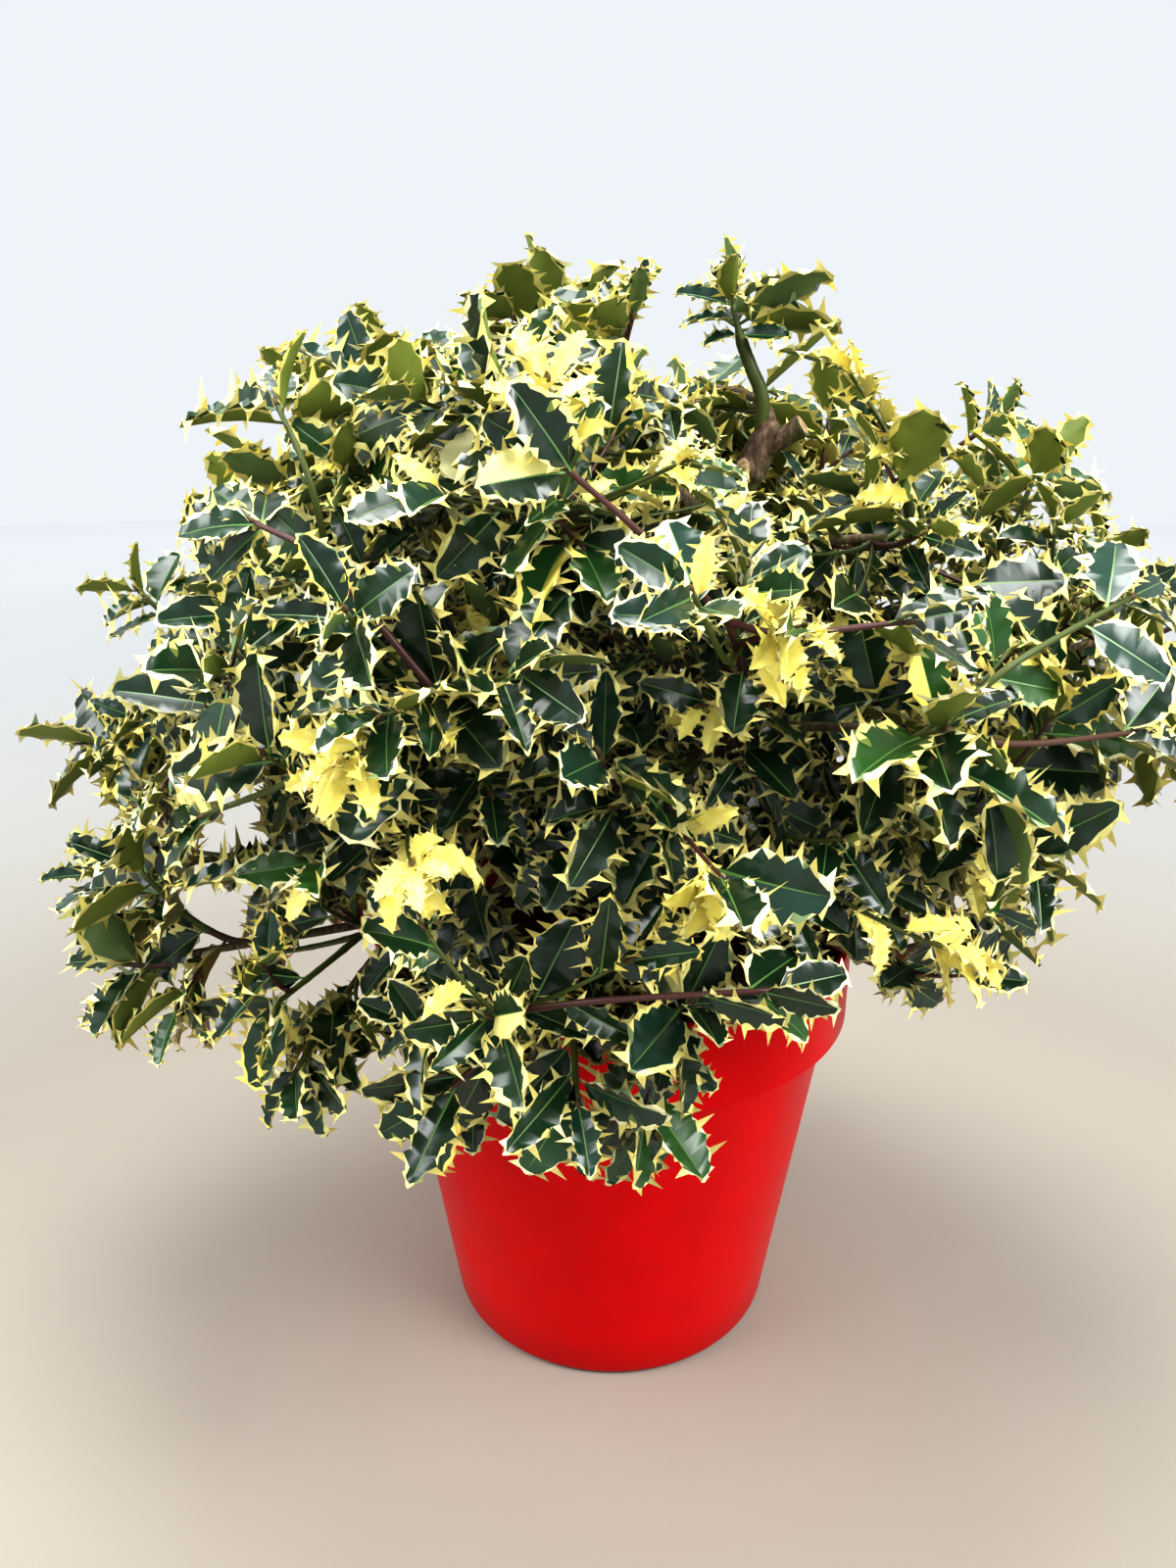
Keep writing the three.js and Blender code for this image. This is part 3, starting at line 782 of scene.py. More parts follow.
# Its leaves stand against the sky: where each leaves the shoot, its direction and its length in mm.
LEADER_LEAVES = [
    (0.99, (-0.03, 0.1, 1), 33), (0.97, (0.7, 0.1, 0.7), 31), (0.96, (-0.9, 0, 0.42), 33),
    (0.93, (0.1, -0.9, 0.1), 30), (0.88, (-1, -0.2, 0.08), 31), (0.78, (-0.8, -0.5, -0.1), 24),
    (0.81, (1, 0.05, 0.26), 56), (0.91, (0.5, 0.6, 0.6), 27), (0.78, (0.8, -0.35, -0.05), 29),
    (0.84, (-0.2, 0.9, 0.3), 42),
]
FURTHEST = 55 * MM  # a shoot this much longer is as bad as one that turns by a radian more
DEEPER = 10 * MM  # a shoot starts at least so much nearer to the crown's centre than its place


def shown_line(place, end):
    """The line of a shoot that shows, from the twig that lets it run straight, and that twig's mass."""
    place, end = Vector(place) * MM, Vector(end) * MM
    depth = (place - CROWN_CENTRE).length - DEEPER

    def cost(sample):
        """How crooked and long the shoot would be if it left its twig here."""
        start = sample[2]
        if (start - CROWN_CENTRE).length > depth or (place - start).length < DEEPER:
            return math.inf
        return (place - start).angle(end - place) + (place - start).length / FURTHEST

    twig, _, start = min(twig_samples, key=cost)
    return through([start, place, end]), twig["mass"]


leader_line = through([trunk_point(LEADER_FOOT)] + [Vector(point) * MM for point in LEADER_POINTS]
                      + [LEADER_TIP])
sprays_shown = [{"mass": masses[-1], "line": leader_line, "finish": OLIVE, "bare": 1, "rosette": 0}]
for place, end, young_bark, bare in SHOWN_SHOOTS:
    line, mass = shown_line(place, end)
    sprays_shown.append({"mass": mass, "line": line, "finish": young_bark, "bare": bare,
                         "size": SHOWN_LEAF})
broken = [{"line": shown_line(place, end)[0], "finish": BROWN} for place, end in BROKEN_SHOOTS]
for spray in sprays_shown + broken:
    spray["length"] = length_of(spray["line"])
print(len(sprays_shown), "bare shoots and", len(broken), "broken ones")

# %% [markdown]
# ## Trunk and boughs
# Holly bark is finely fissured on the trunk and smoother on its boughs. A cylinder with a bump map would
# look turned, so each limb is extruded ring by ring along its line, from the compost or from the trunk's
# heart, and noise then lifts the bark between the fissures.

# %% Limbs
TRUNK_RADIUS = (13 * MM, 6.2 * MM)  # at its foot and at its top
ROOT_FLARE = (7 * MM, 13 * MM)  # extra radius at the ground, and the height over which it fades
KNOB = (2.4 * MM, 0.95, 0.045)  # the callus round the pruning cut: extra radius, place and spread
KNOB_END = [(2.2, 0.86), (4.0, 0.62), (5.0, 0.35)]  # its rounded end: mm past the cut, share of the radius
BURIED = 9 * MM  # how far the trunk goes on under the uneven compost
BURIED_SHARE = 1.05  # how much thicker it is there
BOUGH_RADIUS = (5.6 * MM, 3.4 * MM)
STEM_RADIUS = (3.2 * MM, 2.0 * MM)
COLLAR = (3.0 * MM, 10 * MM, 9 * MM)  # a bough's swollen foot: extra radius, where it fades, how slowly
TRUNK_SIDES, TRUNK_RINGS, TRUNK_RELIEF = 30, 120, 0.09
BOUGH_SIDES, BOUGH_RINGS, BOUGH_RELIEF = 14, 30, 0.05
STEM_RINGS = 22
FISSURE = 8 * MM  # how long a fissure is
FISSURES_ROUND = 2.4  # how many lie across the limb
SWELLING = (0.08, 28 * MM)  # the limb's own unevenness: a share of its radius, and its length


def trunk_radius(t):
    """The trunk's radius, with its root flare and the callus round its cut."""
    above = (TRUNK_TOP.z - TRUNK_FOOT.z) * t
    flare = ROOT_FLARE[0] * math.exp(-above / ROOT_FLARE[1])
    knob = KNOB[0] * math.exp(-((t - KNOB[1]) / KNOB[2]) ** 2)
    return mix(*TRUNK_RADIUS, t) + flare + knob


def cross_sections(points, radii):
    """For each point of a limb, the matrix that carries a unit circle to its cross-section."""
    side = None
    sections = []
    for i, (point, radius) in enumerate(zip(points, radii)):
        along = (points[min(i + 1, len(points) - 1)] - points[max(i - 1, 0)]).normalized()
        side = side - along * side.dot(along) if side else sideways(along, 0)
        side.normalize()
        section = Matrix((side, along.cross(side), along)).transposed() * radius
        section = section.to_4x4()
        section.translation = point
        sections.append(section)
    return sections


def bark_relief(angle, along, depth):
    """How far the bark stands out, as a share of the limb's radius."""
    x, y = math.cos(angle), math.sin(angle)
    fissures = noise.fractal(Vector((x * FISSURES_ROUND, y * FISSURES_ROUND, along / FISSURE)), 0.9, 2.2, 4)
    swelling = noise.noise(Vector((x * 0.8, y * 0.8, along / SWELLING[1])))
    return depth * fissures + SWELLING[0] * swelling


def add_limb(bm, points, radii, sides, depth):
    """Grows one closed limb ring by ring, lifts its bark and returns the face that closes its end."""
    sections = cross_sections(points, radii)
    circle = bmesh.ops.create_circle(bm, cap_ends=True, radius=1, segments=sides, matrix=sections[0])
    ring = circle["verts"]
    edges = list(dict.fromkeys(edge for vertex in ring for edge in vertex.link_edges))
    rings = [ring]
    for before, after in zip(sections, sections[1:]):
        grown = bmesh.ops.extrude_edge_only(bm, edges=edges)["geom"]
        ring = [item for item in grown if isinstance(item, bmesh.types.BMVert)]
        new = set(ring)
        new_edges = [item for item in grown if isinstance(item, bmesh.types.BMEdge)]
        edges = [edge for edge in new_edges if new.issuperset(edge.verts)]
        bmesh.ops.transform(bm, matrix=after @ before.inverted(), verts=ring)
        rings.append(ring)
    cap = bmesh.ops.holes_fill(bm, edges=edges)["faces"]
    along = 0.0
    own_bark = points[0].x * 9  # each limb reads the noise in another place
    for i, (ring, section) in enumerate(zip(rings, sections)):
        along += (points[i] - points[max(i - 1, 0)]).length
        back = section.inverted()
        for vertex in ring:
            unit = back @ vertex.co
            unit *= 1 + bark_relief(math.atan2(unit.y, unit.x), along + own_bark, depth)
            vertex.co = section @ unit
    return cap


def smoothed(points, times):
    """A path with its corners eased, its ends kept."""
    for _ in range(times):
        inner = [(a + b * 2 + c) / 4 for a, b, c in zip(points, points[1:], points[2:])]
        points = [points[0]] + inner + [points[-1]]
    return points


def bough_radius(t, out):
    """A bough's radius at a share of its length, so far out from the trunk's heart."""
    extra, fades_from, fading = COLLAR
    return mix(*BOUGH_RADIUS, t) + extra * math.exp(-max(0, out - fades_from) / fading)


limbs_bm = bmesh.new()
trunk_shares = steps(0, 1, TRUNK_RINGS)
trunk_line = [TRUNK_FOOT - UP * BURIED] + [trunk_point(t) for t in trunk_shares]
trunk_radii = [trunk_radius(0) * BURIED_SHARE] + [trunk_radius(t) for t in trunk_shares]
trunk_ahead = (trunk_line[-1] - trunk_line[-2]).normalized()
for further, share in KNOB_END:
    trunk_line.append(trunk_point(1) + trunk_ahead * further * MM)
    trunk_radii.append(trunk_radius(1) * share)
add_limb(limbs_bm, trunk_line, trunk_radii, TRUNK_SIDES, TRUNK_RELIEF)

limb_samples = list(zip(trunk_line, trunk_radii))[::3]
for mass in masses:
    points = points_of(mass["stem"], STEM_RINGS)
    radii = [mix(*STEM_RADIUS, t) for t in steps(0, 1, STEM_RINGS)]
    if mass["line"]:
        bough = points_of(mass["line"], BOUGH_RINGS)
        bough_radii = [bough_radius(t, (point - bough[0]).length)
                       for t, point in zip(steps(0, 1, BOUGH_RINGS), bough)]
        points = bough + points[1:]
        radii = bough_radii + radii[1:]
        limb_samples += list(zip(bough, bough_radii))[::3]
    add_limb(limbs_bm, smoothed(points, 3), radii, BOUGH_SIDES, BOUGH_RELIEF)
print("the trunk and", len(masses), "limbs")

# %% [markdown]
# Where a limb was sawn off, the bark has swollen round the cut and pale wood shows inside it. The cap of
# a short limb is inset for that, and sunk a little.

# %% Pruned stubs
STUB_SIDES, STUB_RINGS, STUB_RELIEF = 16, 9, 0.07
CALLUS, CALLUS_FROM = 0.16, 0.6  # how much wider its end is, and the share of its length where that starts
BARK_SHARE = 0.22  # how much of the cut's radius is bark
SUNK = 0.5 * MM  # how deep the wood lies in its ring of bark
# Foot and direction of each stub, its length and radius in mm.
STUBS = [
    ((84, 0, 551), (0.8, -0.35, 0.55), 24, 5.6),
    ((80, 2, 536), (-0.55, -0.75, 0.35), 17, 4.6),
    ((50, 6, 470), (0.3, -0.9, 0.4), 24, 4.4),
    ((2, 14, 300), (0.7, -0.7, 0.3), 30, 5.5),
]

for foot, direction, stub_length, radius in STUBS:
    foot, direction = Vector(foot) * MM, Vector(direction).normalized()
    shares = steps(0, 1, STUB_RINGS)
    points = [foot + direction * stub_length * MM * t for t in shares]
    radii = [radius * MM * (1 + CALLUS * max(0, t - CALLUS_FROM) / (1 - CALLUS_FROM)) for t in shares]
    cap = add_limb(limbs_bm, points, radii, STUB_SIDES, STUB_RELIEF)
    bmesh.ops.inset_region(limbs_bm, faces=cap, thickness=radius * MM * BARK_SHARE, depth=-SUNK)
    for face in cap:
        face.material_index = 1
print(len(STUBS), "pruned stubs")

# %% [markdown]
# ## Bark
# One material serves trunk and boughs. A stretched noise sets the fissures, and patches some centimetres
# wide turn the grey-brown greener, as algae and young bark do. A sawn end shows the pale wood.

# %% Bark
BARK_GRAIN = 1000 / 330 * MM
BARK_PATCH = 1000 / 28 * MM
WOOD_GRAIN = 2 * MM

bark = new_material("holly_bark")
bark_place = add_node(bark, "ShaderNodeTexCoord")
bark_scale = add_node(bark, "ShaderNodeMapping", {"Scale": (1, 1, 0.35)},
                      {"Vector": (bark_place, "Object")})
bark_grain = add_node(bark, "ShaderNodeTexNoise",
                      {"Scale": 1 / BARK_GRAIN, "Detail": 6.0, "Roughness": 0.65},
                      {"Vector": (bark_scale, "Vector")})
bark_patches = add_node(bark, "ShaderNodeTexNoise", {"Scale": 1 / BARK_PATCH, "Detail": 3.0},
                        {"Vector": (bark_place, "Object")})
bark_brown = add_node(bark, "ShaderNodeValToRGB",
                      {"stops": [(0.3, "#2E221B"), (0.5, "#66503F"), (0.72, "#9A8570")]},
                      {"Fac": (bark_grain, "Fac")})
bark_green = add_node(bark, "ShaderNodeValToRGB",
                      {"stops": [(0.3, "#2C3019"), (0.55, "#5E6636"), (0.75, "#8C8B5A")]},
                      {"Fac": (bark_grain, "Fac")})
bark_share = add_node(bark, "ShaderNodeMapRange", {"From Min": 0.45, "From Max": 0.62},
                      {"Value": (bark_patches, "Fac")})
bark_tone = add_node(bark, "ShaderNodeMix", {"data_type": "RGBA"}, {
    "Factor_Float": (bark_share, "Result"), "A_Color": (bark_brown, "Color"),
    "B_Color": (bark_green, "Color")})
bark_bump = add_node(bark, "ShaderNodeBump", {"Strength": 0.6, "Distance": 0.001},
                     {"Height": (bark_grain, "Fac")})
surface(bark, {"Roughness": 0.8},
        {"Base Color": (bark_tone, "Result_Color"), "Normal": (bark_bump, "Normal")})

cut_wood = new_material("sawn_holly_wood")
wood_place = add_node(cut_wood, "ShaderNodeTexCoord")
wood_grain = add_node(cut_wood, "ShaderNodeTexNoise", {"Scale": 1 / WOOD_GRAIN, "Detail": 3.0},
                      {"Vector": (wood_place, "Object")})
wood_tone = add_node(cut_wood, "ShaderNodeValToRGB", {"stops": [(0.35, "#8A6F52"), (0.65, "#CDB48C")]},
                     {"Fac": (wood_grain, "Fac")})
surface(cut_wood, {"Roughness": 0.75}, {"Base Color": (wood_tone, "Color")})
bough_nodes = [f"bough_{mass['name']}" for mass in masses if mass["line"]]
add_piece("trunk_and_boughs", mesh_of(limbs_bm, "trunk_and_boughs"), [bark, cut_wood],
          ["trunk"] + bough_nodes, sharp=60)

# %% [markdown]
# ## Many small things
# Twigs, buds, crumbs and leaves come by the hundred. An operator for each would be slow, so their points
# and faces are gathered in arrays, and each kind is joined into one mesh.

# %% Joined meshes
def mesh_from_arrays(name, points, corners, sizes, finishes):
    """One mesh from arrays: points, the corners of all faces, their sizes and their materials."""
    mesh = bpy.data.meshes.new(name)
    mesh.vertices.add(len(points))
    mesh.vertices.foreach_set("co", np.asarray(points, dtype=np.float32).ravel())
    mesh.loops.add(len(corners))
    mesh.loops.foreach_set("vertex_index", np.asarray(corners, dtype=np.int32))
    mesh.polygons.add(len(sizes))
    starts = np.concatenate([[0], np.cumsum(sizes)[:-1]]).astype(np.int32)
    mesh.polygons.foreach_set("loop_start", starts)
    mesh.polygons.foreach_set("material_index", np.asarray(finishes, dtype=np.int32))
    mesh.update(calc_edges=True)
    return mesh


class Heap:
    """Small closed shapes that will be one mesh."""

    def __init__(self):
        self.points, self.corners, self.sizes, self.finishes = [], [], [], []

    def add(self, points, faces, finish):
        """Adds a shape. Its finish is one material number, or one for each face."""
        first = len(self.points)
        self.points += [tuple(point) for point in points]
        self.corners += [first + corner for face in faces for corner in face]
        self.sizes += [len(face) for face in faces]
        self.finishes += [finish] * len(faces) if isinstance(finish, int) else list(finish)

    def mesh(self, name):
        """The joined mesh."""
        return mesh_from_arrays(name, self.points, self.corners, self.sizes, self.finishes)


def tube(points, radii, sides):
    """Points and faces of a closed tube along a path."""
    made = []
    for section in cross_sections(points, radii):
        for k in range(sides):
            angle = 2 * math.pi * k / sides
            made.append(section @ Vector((math.cos(angle), math.sin(angle), 0)))
    faces = []
    for i in range(len(points) - 1):
        for k in range(sides):
            low, next_low = i * sides + k, i * sides + (k + 1) % sides
            faces.append((low, next_low, next_low + sides, low + sides))
    faces.append(tuple(reversed(range(sides))))
    faces.append(tuple(range(len(made) - sides, len(made))))
    return made, faces


# %% [markdown]
# ## Crumbs
# Loose crumbs of peat and chips of composted bark lie on the bed. Each is a small box with its corners
# pushed about, half sunk in the compost. Watering has left more of them towards the rim.

# %% Crumbs
CRUMBS = 520
CRUMB_SEED = 3
CRUMB_SIZE = (1.2 * MM, 4.2 * MM)  # half its length, from the finest to the coarsest
CRUMBS_OUT = 0.96 * SOIL_RADIUS
TO_THE_RIM = 0.45  # under a half, more of them lie towards the rim
PEAT_CRUMBS = 0.7  # the share that is peat
BOX = [(x, y, z) for z in (-1, 1) for x, y in ((-1, -1), (1, -1), (1, 1), (-1, 1))]
BOX_FACES = [(0, 3, 2, 1), (4, 5, 6, 7), (0, 1, 5, 4), (1, 2, 6, 5), (2, 3, 7, 6), (3, 0, 4, 7)]

crumb_rng = np.random.default_rng(CRUMB_SEED)
crumb_heap = Heap()
for _ in range(CRUMBS):
    out = CRUMBS_OUT * crumb_rng.random() ** TO_THE_RIM
    angle = crumb_rng.uniform(0, 2 * math.pi)
    x, y = out * math.cos(angle), out * math.sin(angle)
    size = mix(*CRUMB_SIZE, crumb_rng.random() ** 2)
    half = Vector((1, crumb_rng.uniform(0.4, 0.9), crumb_rng.uniform(0.25, 0.6))) * size
    turned = Euler((crumb_rng.uniform(-0.5, 0.5), crumb_rng.uniform(-0.5, 0.5), angle * 7)).to_matrix()
    centre = Vector((x, y, soil_height(x, y) + half.z * 0.3))
    corners = [centre + turned @ (Vector(corner) * half * crumb_rng.uniform(0.7, 1.1)) for corner in BOX]
    crumb_heap.add(corners, BOX_FACES, 0 if crumb_rng.random() < PEAT_CRUMBS else 1)
chip = surface(new_material("composted_bark_chip"), {"Base Color": linear("#4A3526"), "Roughness": 0.9})
add_piece("crumbs", crumb_heap.mesh("crumbs"), [peat, chip], sharp=30)

# %% [markdown]
# ## Twigs and shoots
# Last year's twigs are olive green, and this year's shoots are green or, in the sun, purple-brown. They
# swell a little at every leaf. The young bark is smooth and slightly waxy, so it has a soft shine.

# %% Twigs and shoots
TWIG_RADIUS = (2.1 * MM, 1.4 * MM)
SHOOT_RADIUS = (1.35 * MM, 0.9 * MM)
SHOWN_RADIUS = (1.8 * MM, 1.2 * MM)
BROKEN_RADIUS = (2.6 * MM, 2.2 * MM)
RING_SPACING = 4.5 * MM
FEWEST_RINGS = 6
SWELLING_SPACING = 11 * MM
NODE_SWELLING = 0.16  # as a share of the radius
PURPLE_SHARE = 0.45
OLDER_SHARE = (0.2, 0.6)  # how much of a twig has older bark, from its foot
# In the order of OLIVE, PURPLE and BROWN: name, colour and roughness.
YOUNG_BARKS = [
    ("young_olive_bark", "#4B5622", 0.45),
    ("young_purple_bark", "#4C2C27", 0.42),
    ("older_twig_bark", "#563B2E", 0.7),
]

young_barks = [surface(new_material(name), {"Base Color": linear(colour), "Roughness": rough, "IOR": 1.45})
               for name, colour, rough in YOUNG_BARKS]
rng = np.random.default_rng(SEED)


def swelling_at(distance):
    """How much thicker a shoot is at a distance from its foot, where it bears a leaf."""
    return 1 + NODE_SWELLING * max(0, math.cos(2 * math.pi * distance / SWELLING_SPACING)) ** 3


twig_heap = Heap()
for group, radius, sides in ((twigs, TWIG_RADIUS, 6), (shoots + yellow_shoots, SHOOT_RADIUS, 5),
                             (sprays_shown, SHOWN_RADIUS, 7), (broken, BROKEN_RADIUS, 7)):
    for spray in group:
        count = max(FEWEST_RINGS, int(spray["length"] / RING_SPACING))
        shares = steps(0, 1, count)
        if spray is sprays_shown[0]:
            radii = [float(np.interp(t, *zip(*LEADER_RADII))) for t in shares]
        else:
            radii = [mix(*radius, t) * swelling_at(t * spray["length"]) for t in shares]
        young = PURPLE if rng.random() < PURPLE_SHARE else OLIVE
        spray.setdefault("finish", young)
        finishes = [spray["finish"]] * (count * sides + 2)
        if group is twigs:
            older = int(count * rng.uniform(*OLDER_SHARE)) * sides
            finishes[:older] = [BROWN if rng.random() < 0.5 else OLIVE] * older
        twig_heap.add(*tube([spray["line"](t) for t in shares], radii, sides), finishes)
add_piece("twigs", twig_heap.mesh("twigs"), young_barks)

# %% [markdown]
# ## One leaf
# A holly leaf is a stiff oval, 5 cm long, folded along its midrib. Its pale margin runs out into six
# spines a side that bend up and down in turn, and the green inside it ends in a ragged edge. A texture
# could draw that, but at a distance the outline is what tells, so the leaf is a thin closed mesh in its
# own outline, with separate faces for midrib, blade, margin and underside. Its points have names, which
# makes the faces easy to list: foot and base of the stalk, then for each spine the bay before it (A, B)
# and its tip (T), the edge of the green (I), the midrib (M), and the underside's points (U, N).

# %% The leaf's points and faces
SPINES = 6
MIDRIB, LEFT, RIGHT, MARGIN, UNDER, UNDER_MARGIN = range(6)  # the roles of a leaf's faces


def edge_names(s):
    """The points of a leaf's edge on side l or r, from foot to tip."""
    names = [s + "foot", s + "base"]
    for k in range(SPINES):
        names += [f"{s}A{k}", f"{s}B{k}", f"{s}T{k}"]
    return names + [f"{s}A{SPINES}", f"{s}B{SPINES}", "end"]


def rib_names(s):
    """The points along the midrib on side l or r, from base to tip."""
    return [s + "base"] + [f"{s}M{k}" for k in range(1, SPINES)] + ["C"]


def upper_faces(s):
    """Roles and corners of the upper faces on side l or r, counterclockwise on the left."""
    rib = rib_names(s)
    faces = []
    for k in range(SPINES):
        green = [f"{s}I{2 * k + 2}", f"{s}I{2 * k + 1}", f"{s}I{2 * k}"]
        faces.append((LEFT if s == "l" else RIGHT, [rib[k], rib[k + 1]] + green))
        pale = [f"{s}I{2 * k}", f"{s}I{2 * k + 1}", f"{s}I{2 * k + 2}", f"{s}A{k + 1}"]
        pale += [f"{s}T{k}", f"{s}B{k}", f"{s}A{k}"]
        faces.append((MARGIN, pale if k else [s + "base"] + pale))
    faces.append((MARGIN, ["C", "end", f"{s}B{SPINES}", f"{s}A{SPINES}", f"{s}I{2 * SPINES}"]))
    return faces


def lower_faces(s):
    """Roles and corners of the underside on side l or r, also counterclockwise from above on the left."""
    faces = [(UNDER, ["NF", "N0", s + "base", s + "foot"])]
    for k in range(0, SPINES, 2):
        corners = [f"N{k}", f"N{k + 2}", f"{s}U{k + 2}", f"{s}U{k + 1}", f"{s}U{k}"]
        faces.append((UNDER, corners if k else corners + [s + "base"]))
    for k in range(SPINES):
        corners = [f"{s}U{k}", f"{s}U{k + 1}", f"{s}A{k + 1}", f"{s}T{k}", f"{s}B{k}", f"{s}A{k}"]
        faces.append((UNDER_MARGIN, corners if k else [s + "base"] + corners))
    corners = [f"N{SPINES}", "end", f"{s}B{SPINES}", f"{s}A{SPINES}", f"{s}U{SPINES}"]
    return faces + [(UNDER_MARGIN, corners)]


def all_leaf_faces():
    """Roles and corner names of every face of a leaf, turned outward."""
    faces = [(MIDRIB, ["rfoot", "rbase", "lbase", "lfoot"]), (MIDRIB, ["rbase", "rM1", "lM1", "lbase"])]
    for k in range(1, SPINES - 1):
        faces.append((MIDRIB, [f"rM{k}", f"rM{k + 1}", f"lM{k + 1}", f"lM{k}"]))
    faces.append((MIDRIB, [f"rM{SPINES - 1}", "C", f"lM{SPINES - 1}"]))
    faces += upper_faces("l") + [(role, corners[::-1]) for role, corners in upper_faces("r")]
    faces += [(role, corners[::-1]) for role, corners in lower_faces("l")] + lower_faces("r")
    return faces + [(UNDER, ["lfoot", "NF", "rfoot"])]


LEAF_FACES = all_leaf_faces()
LEAF_POINTS = sorted({name for _, corners in LEAF_FACES for name in corners})
NUMBER_OF = {name: i for i, name in enumerate(LEAF_POINTS)}
FACE_ROLES = np.array([role for role, _ in LEAF_FACES])
LEAF_CORNERS = np.array([NUMBER_OF[name] for _, corners in LEAF_FACES for name in corners])
LEAF_SIZES = np.array([len(corners) for _, corners in LEAF_FACES])
LEAF_TRIANGLES = int((LEAF_SIZES - 2).sum())
SHARP_LINES = [edge_names("l"), edge_names("r"), rib_names("l"), rib_names("r"), ["lfoot", "rfoot"]]
SHARP_PAIRS = {tuple(sorted((NUMBER_OF[a], NUMBER_OF[b])))
               for line in SHARP_LINES for a, b in zip(line, line[1:])}
print("a leaf:", len(LEAF_POINTS), "points,", len(LEAF_FACES), "faces,", LEAF_TRIANGLES, "triangles")

# %% [markdown]
# No two holly leaves are alike, so a dozen and a half shapes are made. Lengths are shares of the leaf's,
# along x from the foot of its stalk, y to the left and z up.

# %% Leaf shapes
STALK = 0.10
STALK_HALF = 0.013
THICKNESS = 0.011
SHAPES = 18
SPINY_SHARE = 0.93  # of the blade's length
CURLY_SHAPES = 4  # the first few, for leaves without green, are narrow and waved and have long spines
SMOOTH_SHAPES = 4  # the last few are adult leaves with hardly any spines
# The least and the most of what differs from leaf to leaf. Bay and margin are shares of half the width.
LEAF_RANGES = {
    "half_width": (0.255, 0.325),
    "fold": (0.06, 0.42),  # how steeply each half rises from the midrib
    "droop": (-0.02, 0.17),  # how far its tip hangs
    "twist": (-0.25, 0.25),  # radians from foot to tip
    "spine": (0.065, 0.11),  # the length of a spine
    "bay": (0.78, 0.89),  # how wide the leaf is between two spines
    "wave": (0.05, 0.115),  # how far the spines bend up and down
    "margin": (0.14, 0.36),  # how wide the pale edge is
    "bulge": (0.01, 0.035),  # how far each half is domed
}


def leaf_shape(draw, smooth, curly):
    """The places of a leaf's points, for a leaf of length 1."""
    half_width, fold, droop, twist, spine, bay, wave, margin, bulge = [
        draw(*limits) for limits in LEAF_RANGES.values()]
    if smooth:
        spine, bay, wave, margin = spine * 0.3, bay + 0.08, wave * 0.5, margin + 0.08
    if curly:
        half_width, fold = half_width * 0.82, fold + 0.2
        spine, bay, wave = spine * 1.5, bay - 0.2, wave * 1.5
    period = SPINY_SHARE / SPINES
    points = {}

    def put(name, side, u, y, lift=0.0):
        """Places a point at share u of the blade, y from the midrib."""
        width = max(1e-3, outline(u))
        across = min(1.3, y / width)
        height = fold * y + lift - droop * u * u + bulge * math.sin(math.pi * min(1, across))
        turn = twist * u
        y *= side
        turned_y = y * math.cos(turn) - height * math.sin(turn)
        turned_z = y * math.sin(turn) + height * math.cos(turn)
        points[name] = (STALK + u * (1 - STALK), turned_y, turned_z)

    def outline(u):
        """Half the blade's width at u, without its spines."""
        v = max(0.0, u) ** 0.9
        return half_width * max(0.0, 4 * v * (1 - v)) ** 0.7

    for s, side in (("l", 1), ("r", -1)):
        points[s + "foot"] = (0, side * STALK_HALF, 0)
        points[s + "base"] = (STALK, side * STALK_HALF, 0)
        phase = 1 if draw(0, 1) < 0.5 else -1
        for k in range(SPINES + 1):
            start = 0.015 + k * period
            here = wave * phase * (-1) ** k * draw(0.6, 1.2)
            u_a, u_b = start + 0.12 * period, start + 0.6 * period
            if k == SPINES:
                u_a, u_b = 0.955, 0.978
            put(f"{s}A{k}", side, u_a, outline(u_a) * bay * draw(0.95, 1.1) + 0.004, -0.3 * here)
            put(f"{s}B{k}", side, u_b, outline(u_b) * bay * draw(0.95, 1.1) + 0.003, 0.2 * here)
            deep = margin * (1 + 0.7 * (k / SPINES) ** 3)
            u_i = min(0.94, start + 0.3 * period)
            inner = outline(u_i) * min(bay - 0.05, 1 - deep * draw(0.7, 1.35))
            put(f"{s}I{2 * k}", side, u_i, max(0.02, inner), 0)
            under = outline(u_i) * (bay - 0.04) if k % 2 == 0 else inner * 0.84
            put(f"{s}U{k}", side, u_i, max(0.02, under), -THICKNESS)
            if k == SPINES:
                break
            u_t = start + draw(0.86, 0.98) * period
            tip_lift = here if k else here * 0.5
            tooth = 0.3 if curly and k % 2 else 1
            reach = outline(u_t - 0.2 * period) * (1 if tooth == 1 else bay)
            put(f"{s}T{k}", side, u_t, reach + spine * draw(0.75, 1.2) * tooth, tip_lift)
            u_i = start + draw(0.68, 0.92) * period
            inner = outline(u_i) * (1 - deep * draw(-0.1, 1.3))
            put(f"{s}I{2 * k + 1}", side, u_i, inner, 0.2 * abs(here))
            if k:
                put(f"{s}M{k}", side, start + 0.3 * period, STALK_HALF * mix(0.8, 0.3, k / SPINES))
    put("C", 1, 0.955, 0.0)
    put("end", 1, 1.0, 0.0, -0.01)
    for k in range(0, SPINES + 1, 2):
        u_n = 0.945 if k == SPINES else k * period + 0.02
        put(f"N{k}", 1, u_n, 0.0, -0.028 * (1 - 0.6 * k / SPINES))
    points["NF"] = (0, 0, -0.024)
    return np.array([points[name] for name in LEAF_POINTS])


leaf_shapes = np.array([leaf_shape(rng.uniform, k >= SHAPES - SMOOTH_SHAPES, k < CURLY_SHAPES)
                        for k in range(SHAPES)])
print(len(leaf_shapes), "leaf shapes")

